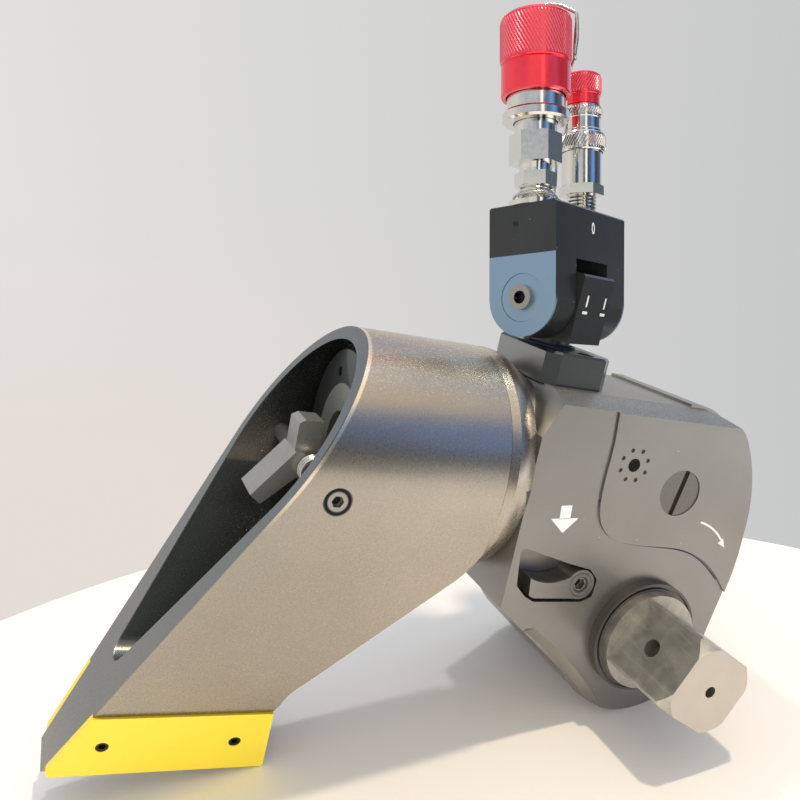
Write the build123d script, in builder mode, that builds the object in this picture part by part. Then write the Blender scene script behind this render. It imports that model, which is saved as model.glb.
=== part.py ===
"""Hydraulic torque wrench with a square drive, a splined reaction arm and a tilting hose swivel.

The tool is drawn with the cylinder along X, the square drive toward -Y and the head's flat top up.
It is then leaned until it stands on the inner edge of the reaction foot and on the round nose.
"""

import math
import os

from build123d import *

os.makedirs("parts", exist_ok=True)

# Clearances
running_gap = 0.05
loose_gap = 0.3
play = 0.4

# Square drive
drive_square = 25.4
drive_turn = -25.9
drive_round = 17.3
drive_shoulder = 7.0
drive_square_length = 30.1
drive_end_chamfer = 3.0
drive_pin_hole = 3.0
drive_pin_inset = 16.8
drive_tap_radius = 1.9
drive_tap_depth = 16.0
journal_radius = 17.0
rear_journal_radius = 13.4
spline_core = 14.0
spline_tip = 15.8
spline_teeth = 12

# Head
head_half_width = 34.0
head_top_z = 80.0
nose_radius = 30.0
nose_edge_inset = 1.6
nose_edge_angle = 37.4
nose_chamfer = 3.0
head_left_x = -57.4
head_right_x = 33.6
bevel_drop = 3.0
bevel_width = 10.0
raised_step = 0.8
cavity_half_width = 19.5
cavity_right_x = 25.0
cavity_top_z = 61.5
access_place = (0.5, 52.1)
access_radius = 8.1
vent_place = (-21.1, 60.2)
vent_radius = 2.3
vent_marks = 8
vent_mark_radius = 0.75
vent_mark_circle = 5.3
shroud_half_width = 24.0
shroud_thickness = 3.0
shroud_proud = 1.0
bushing_radius = 19.0
bushing_flange_radius = 20.1
bushing_flange = 3.7

# Ratchet
ratchet_teeth = 24
ratchet_tip = 26.0
ratchet_root = 22.5
ratchet_half_width = 10.0
ratchet_hub = 19.5
ratchet_phase = 10.0

# Crank
crank_radius = 48.5
crank_rest = 12.0
plate_thickness = 8.0
plate_big_end = 24.3
plate_small_end = 10.0
crank_pin_radius = 6.0
plate_gap = 0.3

# Cylinder
cylinder_z = 48.7
bore_radius = 22.5
barrel_radius = 31.8
barrel_end_x = -108.0
bore_end_x = -58.0
end_cap_thickness = 10.0
end_cap_thread = 26.0
end_cap_flange = 3.5
end_cap_radius = 31.0
piston_radius = 22.4
piston_length = 14.0
rod_radius = 11.0
gland_radius = 16.0
gland_end_x = -46.0
collar_left_x = -67.5
collar_nose = 3.1

# Splined end of the cylinder and the arm
arm_teeth = 60
arm_teeth_length = 12.0
arm_teeth_depth = 1.1
arm_teeth_width = 1.4

# Reaction arm
arm_wall = 4.4
arm_seam_x = -67.85
arm_taper = 14.3
arm_slope = 0.518
arm_mouth_x = -130.35
arm_foot_z = -62.0
arm_foot_inner_x = -119.0
mouth_low_radius = 6.5
mouth_low_drop = 70.8
pocket_floor_rise = 1.0867
pocket_floor_x = -68.0
pocket_floor_z = 33.7
foot_plate_top_z = -38.5
foot_plate_depth = 2.0
foot_plate_proud = 1.0
foot_screw_head = 2.0
foot_screw_shank = 1.2

# Latch of the arm
latch_x = -120.3
latch_z = 41.3
latch_pin_radius = 3.0
latch_pin_head = 4.4
latch_width = 15.0
catch_radius = 19.0
catch_hole = 10.0
catch_thickness = 4.0
catch_recess = 13.0

# Release lever
release_x = -29.4
release_z = 17.4
release_shaft_radius = 4.0
release_pocket_depth = 8.5
release_screw_radius = 2.9

# Hose swivel
swivel_x = -41.5
swivel_base_height = 11.0
swivel_base_length = 25.0
swivel_base_width = 40.0
swivel_base_shift = 2.0
swivel_pin_z = 105.5
swivel_azimuth = 206.9
swivel_tilt = 15.4
swivel_pin_radius = 6.0
block_half_length = 23.25
block_half_width = 12.6
block_top = 30.1
slot_half_length = 10.5
post_half_depth = 13.3
post_top = 11.4
post_bottom = 11.6
neck_radius = 7.0
port_offset = 15.2
cap_radius = 11.4
cap_top = 61.7
wire_radius = 0.6
wire_turn = 119.0

# Retainer on the rear of the drive
retainer_radius = 18.5
retainer_height = 6.0
retainer_neck = 6.0
button_radius = 5.5

# Sizes that follow from the ones above
drive_end_y = head_half_width + drive_shoulder + drive_square_length
drive_pin_y = drive_end_y - drive_pin_inset
arm_teeth_tip = barrel_radius + arm_teeth_depth
arm_bore_radius = arm_teeth_tip + loose_gap
arm_radius = arm_bore_radius + arm_wall
collar_radius = arm_radius
collar_small_radius = barrel_radius + collar_nose
slot_radius = math.hypot(post_half_depth, max(post_top, post_bottom)) + loose_gap

pieces = {}


def link_points(first, first_radius, second, second_radius):
    """Corners of the straight band that joins two circles along their tangents."""
    along_x = second[0] - first[0]
    along_y = second[1] - first[1]
    length = math.hypot(along_x, along_y)
    along_x /= length
    along_y /= length
    lean_sin = (first_radius - second_radius) / length
    lean_cos = math.sqrt(1 - lean_sin**2)
    corners = []
    for centre, radius, side in (
        (first, first_radius, 1),
        (second, second_radius, 1),
        (second, second_radius, -1),
        (first, first_radius, -1),
    ):
        corners.append(
            (
                centre[0] + radius * (along_x * lean_sin - side * along_y * lean_cos),
                centre[1] + radius * (along_y * lean_sin + side * along_x * lean_cos),
            )
        )
    return corners


def link_profile(first, first_radius, second, second_radius, mode=Mode.ADD):
    """Two circles and the band between them, drawn into the current profile."""
    Polygon(*link_points(first, first_radius, second, second_radius), align=None, mode=mode)
    with Locations(first):
        Circle(first_radius, mode=mode)
    with Locations(second):
        Circle(second_radius, mode=mode)


def face_plane(y):
    """Plane across the tool at the given Y, looking toward the square drive."""
    return Plane.XZ.offset(-y)


def polar(radius, angle):
    """Point at a radius and an angle from X toward Z."""
    return (radius * math.cos(math.radians(angle)), radius * math.sin(math.radians(angle)))


bore_plane = Plane(origin=(0, 0, cylinder_z), x_dir=(1, 0, 0), z_dir=(0, -1, 0))
bore_axis = Axis((0, 0, cylinder_z), (1, 0, 0))

# Outline of the head, from the top through the cylinder side, the nose and the round end
nose_edge_offset = nose_radius - nose_edge_inset
nose_sin = math.sin(math.radians(nose_edge_angle))
nose_cos = math.cos(math.radians(nose_edge_angle))
edge_reach = math.sqrt(nose_radius**2 - nose_edge_offset**2)
nose_corner = (
    -nose_sin * nose_edge_offset - nose_cos * edge_reach,
    -nose_cos * nose_edge_offset + nose_sin * edge_reach,
)
left_low_z = (-nose_sin * head_left_x - nose_edge_offset) / nose_cos
end_bottom = (nose_radius, 0)
end_low = (head_right_x - 0.3, 21.0)
end_high = (head_right_x, 39.0)
end_shoulder = (head_right_x - 10.9, head_top_z - 6.3)
top_right = (head_right_x - 24.6, head_top_z)

with BuildSketch(Plane.XZ, mode=Mode.PRIVATE) as head_outline:
    with BuildLine():
        Polyline(
            top_right,
            (head_left_x + 6.7, head_top_z),
            (head_left_x, head_top_z - 14.0),
            (head_left_x, left_low_z),
            nose_corner,
        )
        ThreePointArc(nose_corner, (0, -nose_radius), end_bottom)
        Line(end_bottom, end_low)
        ThreePointArc(end_low, (head_right_x + 0.3, 30.5), end_high)
        ThreePointArc(end_high, (head_right_x - 2.8, head_top_z - 22.5), end_shoulder)
        ThreePointArc(end_shoulder, (head_right_x - 16.9, head_top_z - 1.8), top_right)
    make_face()

# Line on the front face where the raised field ends
raised_line = [
    (-32.6, head_top_z + 5),
    (-31.2, head_top_z - 9),
    (-30.8, 58.5),
    (-30.4, 47.5),
    (-28.4, 40.2),
    (-23.2, 35.0),
    (-15.4, 32.9),
    (-4.0, 32.5),
    (6.0, 32.2),
    (14.4, 30.4),
    (21.9, 26.4),
    (29.4, 20.0),
    (40.0, 9.0),
]

cavity_outline = [
    (cavity_right_x, cavity_top_z),
    (gland_end_x, cavity_top_z),
    (gland_end_x, 2 * cylinder_z - cavity_top_z),
    (-ratchet_tip - 9.6, 26.0),
    (-ratchet_tip - 1.4, 8.0),
    (-ratchet_tip - 1.4, 0),
    (cavity_right_x, 0),
]
pawl_top = (release_x, release_z)
hook_angle = ratchet_phase + 180

shroud_screw_places = [(side * (shroud_half_width - 2.2), z) for side in (-1, 1) for z in (24, 38)]

# The release lever's finger pocket in the front face
pocket_outline = [
    (-55.4, 29.7),
    (-35.8, 24.6),
    (-26.8, 22.8),
    (-23.1, 19.3),
    (-23.6, 13.0),
    (-27.5, 11.1),
    (-45.9, 10.7),
    (-49.6, 12.5),
    (-53.5, 16.1),
]

# Head and cylinder, machined from one piece
with BuildPart() as housing:
    with BuildSketch(face_plane(head_half_width)):
        add(head_outline.sketch_local)
    extrude(amount=2 * head_half_width)
    with BuildSketch(face_plane(-head_half_width)):
        add(head_outline.sketch_local)
        with BuildLine():
            Line(raised_line[0], raised_line[1])
            Spline(*raised_line[1:-1])
            Polyline(raised_line[-2], raised_line[-1], (40, head_top_z + 5), raised_line[0])
        make_face(mode=Mode.INTERSECT)
    extrude(amount=raised_step)
    # Shallow bevels along both upper edges
    with BuildSketch(Plane.YZ.offset(head_left_x - 1)):
        for side in (-1, 1):
            Polygon(
                (side * (head_half_width - bevel_width), head_top_z + 0.001),
                (side * (head_half_width + 5), head_top_z - bevel_drop * (1 + 5 / bevel_width)),
                (side * (head_half_width + 5), head_top_z + 5),
                (side * (head_half_width - bevel_width), head_top_z + 5),
                align=None,
            )
    extrude(amount=head_right_x - head_left_x + 6, mode=Mode.SUBTRACT)
    # Chamfer along the lower left edge of the front face
    with BuildSketch(face_plane(-head_half_width)):
        with BuildLine():
            ThreePointArc((-43, 1.2), (-24.5, -12.0), (-8, -28.4))
            Polyline((-8, -28.4), (-12, -50), (-70, -20), (-46, 1.2), (-43, 1.2))
        make_face()
    extrude(amount=-nose_chamfer, taper=45, mode=Mode.SUBTRACT)
    # Barrel
    with BuildSketch(bore_plane):
        Polygon(
            (head_left_x + 5, 0),
            (head_left_x + 5, barrel_radius),
            (barrel_end_x, barrel_radius),
            (barrel_end_x, 0),
            align=None,
        )
    revolve(axis=bore_axis)
    # Guide land inside the arm's open end
    with BuildSketch(bore_plane):
        Polygon(
            (collar_left_x, barrel_radius - 1),
            (collar_left_x, arm_bore_radius - loose_gap),
            (collar_left_x - 11, arm_bore_radius - loose_gap),
            (collar_left_x - 12.1, barrel_radius - 1),
            align=None,
        )
    revolve(axis=bore_axis)
    # Spline teeth that carry the arm
    with BuildSketch(Plane(origin=(barrel_end_x, 0, cylinder_z), x_dir=(0, 1, 0), z_dir=(1, 0, 0))):
        with PolarLocations((barrel_radius + arm_teeth_tip) / 2 - 0.25, arm_teeth):
            Rectangle(arm_teeth_tip - barrel_radius + 0.5, arm_teeth_width)
    extrude(amount=arm_teeth_length)
    # Cylinder bore, end cap thread and rod gland seat
    with BuildSketch(bore_plane):
        Polygon(
            (barrel_end_x - 1, 0),
            (barrel_end_x - 1, end_cap_thread),
            (barrel_end_x + end_cap_thickness, end_cap_thread),
            (barrel_end_x + end_cap_thickness, bore_radius),
            (bore_end_x, bore_radius),
            (bore_end_x, gland_radius),
            (gland_end_x + 1, gland_radius),
            (gland_end_x + 1, 0),
            align=None,
        )
    revolve(axis=bore_axis, mode=Mode.SUBTRACT)
    # Room for the ratchet, the crank, the rod and the holding pawl
    with BuildSketch(face_plane(cavity_half_width)):
        Polygon(*cavity_outline, align=None)
        Circle(ratchet_tip + 1.4)
        with Locations(pawl_top):
            Circle(7.6)
        Polygon(
            (release_x - 7.6, release_z),
            polar(ratchet_tip + 8.6, hook_angle - 8),
            polar(ratchet_tip + 7.2, hook_angle + 3),
            polar(ratchet_tip + 2.5, hook_angle + 9),
            (-20, 0),
            (release_x + 7.6, release_z),
            align=None,
        )
    extrude(amount=2 * cavity_half_width, mode=Mode.SUBTRACT)
    # Opening at the round end, closed by the shroud
    with BuildSketch(face_plane(cavity_half_width)):
        Polygon(
            (0, ratchet_tip / 2),
            (50, ratchet_tip / 2 - 25),
            (50, cavity_top_z),
            (0, cavity_top_z),
            align=None,
        )
    extrude(amount=2 * cavity_half_width, mode=Mode.SUBTRACT)
    # Seat of the shroud
    with BuildSketch(face_plane(shroud_half_width + running_gap)):
        add(head_outline.sketch_local)
        offset(head_outline.sketch_local, amount=-shroud_thickness, mode=Mode.SUBTRACT)
        Polygon((5, -5), (60, -5), (60, 90), (5, 90), align=None, mode=Mode.INTERSECT)
    extrude(amount=2 * (shroud_half_width + running_gap), mode=Mode.SUBTRACT)
    # Drive bore
    with BuildSketch(face_plane(head_half_width + 1)):
        Circle(bushing_radius)
    extrude(amount=2 * head_half_width + 2, mode=Mode.SUBTRACT)
    # Finger pocket of the release lever
    with BuildSketch(face_plane(-head_half_width + release_pocket_depth)):
        Polygon(*pocket_outline, align=None)
        fillet(vertices(), radius=1.6)
    extrude(amount=release_pocket_depth + 2, mode=Mode.SUBTRACT)
    # Bore of the release shaft
    with BuildSketch(face_plane(cavity_half_width + 6)):
        with Locations(pawl_top):
            Circle(release_shaft_radius + running_gap)
    extrude(amount=cavity_half_width + 6 + head_half_width - release_pocket_depth + 1, mode=Mode.SUBTRACT)
    # Vent and access plug seats
    with BuildSketch(face_plane(-cavity_half_width + 2)):
        with Locations(access_place):
            Circle(access_radius)
        with Locations(vent_place):
            Circle(vent_radius)
    extrude(amount=head_half_width, mode=Mode.SUBTRACT)
    # Punched marks in a ring round the vent
    with BuildSketch(face_plane(-head_half_width)):
        with Locations(vent_place):
            with PolarLocations(vent_mark_circle, vent_marks, start_angle=180 / vent_marks):
                Circle(vent_mark_radius)
    extrude(amount=raised_step, mode=Mode.SUBTRACT)
    # Threads of the shroud screws
    with BuildSketch(Plane.YZ.offset(head_right_x - 8)):
        with Locations(*shroud_screw_places):
            Circle(1.2)
    extrude(amount=12, mode=Mode.SUBTRACT)
pieces["housing"] = housing.part

with BuildPart() as shroud:
    with BuildSketch(face_plane(shroud_half_width)):
        offset(head_outline.sketch_local, amount=shroud_proud)
        offset(head_outline.sketch_local, amount=-shroud_thickness, mode=Mode.SUBTRACT)
        Polygon((5, -5), (60, -5), (60, 90), (5, 90), align=None, mode=Mode.INTERSECT)
    extrude(amount=2 * shroud_half_width)
    with BuildSketch(Plane.YZ.offset(head_right_x - 8)):
        with Locations(*shroud_screw_places):
            Circle(1.2)
    extrude(amount=12, mode=Mode.SUBTRACT)
    with BuildSketch(Plane.YZ.offset(head_right_x - 0.8)):
        with Locations(*shroud_screw_places):
            Circle(1.9)
    extrude(amount=5, mode=Mode.SUBTRACT)
pieces["shroud"] = shroud.part

with BuildPart() as collar:
    with BuildSketch(bore_plane):
        with BuildLine():
            Polyline(
                (collar_left_x + 3, collar_radius),
                (collar_left_x, collar_radius - 0.4),
                (collar_left_x, barrel_radius),
                (head_left_x, barrel_radius),
                (head_left_x, collar_small_radius),
            )
            ThreePointArc(
                (head_left_x, collar_small_radius),
                (head_left_x - 3.2, collar_small_radius + 1.9),
                (collar_left_x + 3, collar_radius),
            )
        make_face()
    revolve(axis=bore_axis)
pieces["collar"] = collar.part

with BuildPart() as drive_bushing_front:
    with BuildSketch(face_plane(-cavity_half_width)):
        Circle(bushing_radius)
        Circle(journal_radius + running_gap, mode=Mode.SUBTRACT)
    extrude(amount=head_half_width - cavity_half_width)
    with BuildSketch(face_plane(-head_half_width)):
        Circle(bushing_flange_radius)
        Circle(journal_radius + running_gap, mode=Mode.SUBTRACT)
    extrude(amount=bushing_flange)
    with BuildSketch(face_plane(-head_half_width - bushing_flange + 0.8)):
        Circle(bushing_flange_radius - 0.9)
        Circle(bushing_flange_radius - 1.7, mode=Mode.SUBTRACT)
    extrude(amount=2, mode=Mode.SUBTRACT)
pieces["drive_bushing_front"] = drive_bushing_front.part

with BuildPart() as drive_bushing_rear:
    with BuildSketch(face_plane(head_half_width)):
        Circle(bushing_radius)
        Circle(rear_journal_radius + running_gap, mode=Mode.SUBTRACT)
    extrude(amount=head_half_width - cavity_half_width)
pieces["drive_bushing_rear"] = drive_bushing_rear.part

with BuildPart() as access_plug:
    with BuildSketch(face_plane(-cavity_half_width - 1)):
        with Locations(access_place):
            Circle(access_radius)
    extrude(amount=head_half_width + raised_step - cavity_half_width - 1.4)
    with BuildSketch(face_plane(-head_half_width + 1)):
        with Locations(access_place):
            Rectangle(20, 1.9, rotation=80)
    extrude(amount=3, mode=Mode.SUBTRACT)
pieces["access_plug"] = access_plug.part

with BuildPart() as vent_plug:
    with BuildSketch(face_plane(-cavity_half_width - 1)):
        with Locations(vent_place):
            Circle(vent_radius)
    extrude(amount=head_half_width - cavity_half_width - 3.2)
pieces["vent_plug"] = vent_plug.part

# Small screws that hold the shroud
with BuildPart() as shroud_screws:
    with BuildSketch(Plane.YZ.offset(head_right_x - 8)):
        with Locations(*shroud_screw_places):
            Circle(1.2)
    extrude(amount=7.2)
    with BuildSketch(Plane.YZ.offset(head_right_x - 0.8)):
        with Locations(*shroud_screw_places):
            Circle(1.9)
    extrude(amount=1.6)
pieces["shroud_screws"] = shroud_screws.part

# Square drive: square, shoulder, journal, spline and rear journal in one piece
with BuildPart() as square_drive:
    with BuildSketch(face_plane(-drive_end_y + drive_square_length)):
        Rectangle(drive_square, drive_square, rotation=drive_turn)
        Circle(drive_round, mode=Mode.INTERSECT)
    extrude(amount=drive_square_length)
    with BuildSketch(Plane.XY):
        Polygon(
            (0, -drive_end_y),
            (drive_round - drive_end_chamfer, -drive_end_y),
            (drive_round, -drive_end_y + drive_end_chamfer * 1.2),
            (drive_round, 0),
            (0, 0),
            align=None,
        )
    revolve(axis=Axis.Y, mode=Mode.INTERSECT)
    with BuildSketch(Plane.XY):
        Polygon(
            (0, -drive_end_y + drive_square_length),
            (journal_radius + 0.4, -drive_end_y + drive_square_length),
            (journal_radius + 0.4, -head_half_width - bushing_flange),
            (journal_radius, -head_half_width - bushing_flange),
            (journal_radius, -cavity_half_width),
            (spline_core, -cavity_half_width),
            (spline_core, cavity_half_width),
            (rear_journal_radius, cavity_half_width),
            (rear_journal_radius, head_half_width),
            (0, head_half_width),
            align=None,
        )
    revolve(axis=Axis.Y)
    with BuildSketch(face_plane(cavity_half_width)):
        with PolarLocations((spline_core + spline_tip) / 2 - 0.3, spline_teeth):
            Rectangle(spline_tip - spline_core + 0.6, 3.8)
    extrude(amount=2 * cavity_half_width)
    with BuildSketch(face_plane(-drive_end_y + drive_tap_depth)):
        Circle(drive_tap_radius)
    extrude(amount=drive_tap_depth + 1, mode=Mode.SUBTRACT)
    with BuildSketch(
        Plane(
            origin=(0, -drive_pin_y, 0),
            x_dir=(0, 1, 0),
            z_dir=(math.cos(math.radians(drive_turn)), 0, math.sin(math.radians(drive_turn))),
        )
    ):
        Circle(drive_pin_hole)
    extrude(amount=30, both=True, mode=Mode.SUBTRACT)
    with BuildSketch(face_plane(head_half_width + 1)):
        Circle(retainer_neck)
    extrude(amount=15, mode=Mode.SUBTRACT)
pieces["square_drive"] = square_drive.part

with BuildPart() as ratchet_wheel:
    tooth_step = 360 / ratchet_teeth
    ratchet_corners = []
    for tooth in range(ratchet_teeth):
        start = ratchet_phase + tooth * tooth_step
        ratchet_corners.append(polar(ratchet_root, start))
        ratchet_corners.append(polar(ratchet_tip, start + tooth_step - 2))
        ratchet_corners.append(polar(ratchet_tip, start + tooth_step))
    with BuildSketch(face_plane(ratchet_half_width)):
        Polygon(*ratchet_corners, align=None)
    extrude(amount=2 * ratchet_half_width)
    with BuildSketch(face_plane(cavity_half_width - loose_gap)):
        Circle(ratchet_hub)
    extrude(amount=2 * (cavity_half_width - loose_gap))
    with BuildSketch(face_plane(cavity_half_width)):
        Circle(spline_core + running_gap)
        with PolarLocations((spline_core + spline_tip) / 2 - 0.3, spline_teeth):
            Rectangle(spline_tip - spline_core + 0.6 + 2 * running_gap, 3.8 + 2 * running_gap)
    extrude(amount=2 * cavity_half_width, mode=Mode.SUBTRACT)
pieces["ratchet_wheel"] = ratchet_wheel.part

with BuildPart() as retainer_cap:
    with BuildSketch(face_plane(head_half_width + loose_gap + retainer_height)):
        Circle(retainer_radius)
    extrude(amount=retainer_height)
    chamfer(retainer_cap.edges().filter_by(GeomType.CIRCLE).sort_by(Axis.Y)[-1], 1.2)
    with BuildSketch(face_plane(head_half_width + loose_gap)):
        Circle(retainer_neck)
    extrude(amount=12)
    with BuildSketch(face_plane(head_half_width + retainer_height + 1)):
        Circle(button_radius + loose_gap)
    extrude(amount=retainer_height - 1, mode=Mode.SUBTRACT)
    with BuildSketch(face_plane(head_half_width + 3)):
        Circle(2.2)
    extrude(amount=20, mode=Mode.SUBTRACT)
    with BuildSketch(face_plane(head_half_width + loose_gap + retainer_height)):
        with PolarLocations(retainer_radius + 0.6, 12):
            Circle(1.8)
    extrude(amount=retainer_height, mode=Mode.SUBTRACT)
pieces["retainer_cap"] = retainer_cap.part

with BuildPart() as retainer_button:
    with BuildSketch(face_plane(head_half_width + retainer_height + 1.5)):
        Circle(button_radius)
    extrude(amount=3)
    chamfer(retainer_button.edges().filter_by(GeomType.CIRCLE).sort_by(Axis.Y)[-1], 0.6)
    with BuildSketch(face_plane(head_half_width + 5)):
        Circle(1.9)
    extrude(amount=9)
pieces["retainer_button"] = retainer_button.part

# Crank plates either side of the ratchet, and the pin that the rod pushes
crank_angle = 90 + crank_rest
crank_pin_point = polar(crank_radius, crank_angle)
plate_inner_y = ratchet_half_width + plate_gap
for name, y in (("crank_plate_front", -plate_inner_y), ("crank_plate_rear", plate_inner_y + plate_thickness)):
    with BuildPart() as crank_plate:
        with BuildSketch(face_plane(y)):
            link_profile((0, 0), plate_big_end, crank_pin_point, plate_small_end)
            Circle(ratchet_hub + running_gap, mode=Mode.SUBTRACT)
            with Locations(crank_pin_point):
                Circle(crank_pin_radius, mode=Mode.SUBTRACT)
        extrude(amount=plate_thickness)
    pieces[name] = crank_plate.part

with BuildPart() as crank_pin:
    with BuildSketch(face_plane(plate_inner_y + plate_thickness)):
        with Locations(crank_pin_point):
            Circle(crank_pin_radius)
    extrude(amount=2 * (plate_inner_y + plate_thickness))
pieces["crank_pin"] = crank_pin.part

# Drive pawl, held just off the teeth, on its pin between the plates
pawl_pivot = polar(33.4, crank_angle + 15)
with BuildPart() as pawl_pin:
    with BuildSketch(face_plane(plate_inner_y)):
        with Locations(pawl_pivot):
            Circle(2.5)
    extrude(amount=2 * plate_inner_y)
pieces["pawl_pin"] = pawl_pin.part

with BuildPart() as drive_pawl:
    with BuildSketch(face_plane(ratchet_half_width - 0.5)):
        Polygon(
            polar(29.4, crank_angle + 21),
            polar(ratchet_tip + 0.5, crank_angle + 2),
            polar(ratchet_tip + 0.5, crank_angle - 4),
            polar(30.2, crank_angle - 4),
            polar(36.6, crank_angle + 10),
            polar(36.6, crank_angle + 19),
            align=None,
        )
        with Locations(pawl_pivot):
            Circle(2.5 + running_gap, mode=Mode.SUBTRACT)
    extrude(amount=2 * (ratchet_half_width - 0.5))
pieces["drive_pawl"] = drive_pawl.part

# Piston, its seal, the rod with its slotted eye and the nut
piston_left_x = barrel_end_x + end_cap_thickness + 1.5
piston_right_x = piston_left_x + piston_length
with BuildPart() as piston:
    with BuildSketch(bore_plane):
        Polygon(
            (piston_left_x, 7),
            (piston_left_x, piston_radius - 1),
            (piston_left_x + 1, piston_radius),
            (piston_left_x + 4.5, piston_radius),
            (piston_left_x + 4.5, piston_radius - 3),
            (piston_left_x + 9.5, piston_radius - 3),
            (piston_left_x + 9.5, piston_radius),
            (piston_right_x - 1, piston_radius),
            (piston_right_x, piston_radius - 1),
            (piston_right_x, 7),
            align=None,
        )
    revolve(axis=bore_axis)
pieces["piston"] = piston.part

with BuildPart() as piston_seal:
    with BuildSketch(bore_plane):
        Polygon(
            (piston_left_x + 4.7, piston_radius - 3),
            (piston_left_x + 4.7, piston_radius),
            (piston_left_x + 9.3, piston_radius),
            (piston_left_x + 9.3, piston_radius - 3),
            align=None,
        )
    revolve(axis=bore_axis)
pieces["piston_seal"] = piston_seal.part

eye_drop = cylinder_z - crank_radius * (1 + math.cos(math.radians(crank_rest))) / 2
eye_half_width = ratchet_half_width - 0.3
with BuildPart() as piston_rod:
    with BuildSketch(bore_plane):
        Polygon(
            (piston_left_x, 0),
            (piston_left_x, 7),
            (piston_right_x, 7),
            (piston_right_x, rod_radius),
            (crank_pin_point[0] - 23, rod_radius),
            (crank_pin_point[0] - 20, 8),
            (crank_pin_point[0] - 20, 0),
            align=None,
        )
    revolve(axis=bore_axis)
    with BuildSketch(face_plane(eye_half_width)):
        with BuildLine():
            Polyline(
                (crank_pin_point[0], cylinder_z - 10),
                (crank_pin_point[0] - 21, cylinder_z - 7.5),
                (crank_pin_point[0] - 21, cylinder_z + 7.5),
                (crank_pin_point[0], cylinder_z + 10),
            )
            ThreePointArc(
                (crank_pin_point[0], cylinder_z + 10),
                (crank_pin_point[0] + 10, cylinder_z),
                (crank_pin_point[0], cylinder_z - 10),
            )
        make_face()
        with Locations((crank_pin_point[0], cylinder_z - eye_drop)):
            SlotOverall(
                2 * (crank_pin_radius + 0.1) + 1.4, 2 * (crank_pin_radius + 0.1), rotation=90, mode=Mode.SUBTRACT
            )
    extrude(amount=2 * eye_half_width)
pieces["piston_rod"] = piston_rod.part

# Gland round the rod
with BuildPart() as rod_gland:
    with BuildSketch(bore_plane):
        Polygon(
            (bore_end_x - 3.2, rod_radius + running_gap),
            (bore_end_x - 3.2, bore_radius),
            (bore_end_x, bore_radius),
            (bore_end_x, gland_radius),
            (gland_end_x, gland_radius),
            (gland_end_x, rod_radius + running_gap),
            (gland_end_x - 4, rod_radius + running_gap),
            (gland_end_x - 4, rod_radius + 2.5),
            (gland_end_x - 7, rod_radius + 2.5),
            (gland_end_x - 7, rod_radius + running_gap),
            align=None,
        )
    revolve(axis=bore_axis)
pieces["rod_gland"] = rod_gland.part

with BuildPart() as rod_seal:
    with BuildSketch(bore_plane):
        Polygon(
            (gland_end_x - 6.8, rod_radius + running_gap),
            (gland_end_x - 6.8, rod_radius + 2.4),
            (gland_end_x - 4.2, rod_radius + 2.4),
            (gland_end_x - 4.2, rod_radius + running_gap),
            align=None,
        )
    revolve(axis=bore_axis)
pieces["rod_seal"] = rod_seal.part

# End cap with its flange, wrench holes and the round pocket behind the catch plate
cap_face_x = barrel_end_x - end_cap_flange
with BuildPart() as end_cap:
    with BuildSketch(bore_plane):
        Polygon(
            (cap_face_x, catch_radius),
            (cap_face_x, end_cap_radius - 1),
            (cap_face_x + 1, end_cap_radius),
            (barrel_end_x, end_cap_radius),
            (barrel_end_x, end_cap_thread),
            (barrel_end_x + end_cap_thickness, end_cap_thread),
            (barrel_end_x + end_cap_thickness, 0),
            (cap_face_x + catch_thickness + 7, 0),
            (cap_face_x + catch_thickness + 7, catch_recess),
            (cap_face_x + catch_thickness, catch_recess),
            (cap_face_x + catch_thickness, catch_radius),
            align=None,
        )
    revolve(axis=bore_axis)
    with BuildSketch(Plane(origin=(cap_face_x - 1, 0, cylinder_z), x_dir=(0, 1, 0), z_dir=(1, 0, 0))):
        with PolarLocations(23, 4, start_angle=69):
            Circle(1.8)
    extrude(amount=5, mode=Mode.SUBTRACT)
pieces["end_cap"] = end_cap.part

with BuildPart() as catch_plate:
    with BuildSketch(Plane(origin=(cap_face_x, 0, cylinder_z), x_dir=(0, 1, 0), z_dir=(1, 0, 0))):
        Circle(catch_radius)
        Circle(catch_hole, mode=Mode.SUBTRACT)
    extrude(amount=catch_thickness)
pieces["catch_plate"] = catch_plate.part


def arm_section(margin):
    """Corners of the arm's tapered lower part, grown by a margin."""
    taper_sin = math.sin(math.radians(arm_taper))
    taper_cos = math.cos(math.radians(arm_taper))
    radius = arm_radius + margin
    drop = cylinder_z - arm_foot_z
    low = (radius - drop * taper_sin) / taper_cos
    return [
        (radius * taper_cos, cylinder_z - radius * taper_sin),
        (low, arm_foot_z),
        (-low, arm_foot_z),
        (-radius * taper_cos, cylinder_z - radius * taper_sin),
    ]


def mouth_x(z):
    """Where the slanted cut across the arm's open end lies at a height."""
    return arm_mouth_x - arm_slope * (cylinder_z - z)


floor_low_z = cylinder_z - mouth_low_drop - 2 * mouth_low_radius
floor_low_x = pocket_floor_x - (pocket_floor_z - floor_low_z) / pocket_floor_rise
with BuildPart() as arm_hollow:
    with BuildSketch(Plane.YZ.offset(arm_seam_x - 150)):
        link_profile(
            (0, cylinder_z), arm_bore_radius, (0, cylinder_z - mouth_low_drop), mouth_low_radius
        )
    extrude(amount=152)
    with BuildSketch(face_plane(arm_radius)):
        Polygon(
            (pocket_floor_x, pocket_floor_z),
            (pocket_floor_x, 100),
            (-230, 100),
            (-230, floor_low_z),
            (floor_low_x, floor_low_z),
            align=None,
        )
    extrude(amount=2 * arm_radius, mode=Mode.INTERSECT)
    with BuildSketch(Plane.YZ.offset(arm_seam_x - 100)):
        with Locations((0, cylinder_z)):
            Circle(arm_bore_radius)
    extrude(amount=102)

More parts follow.
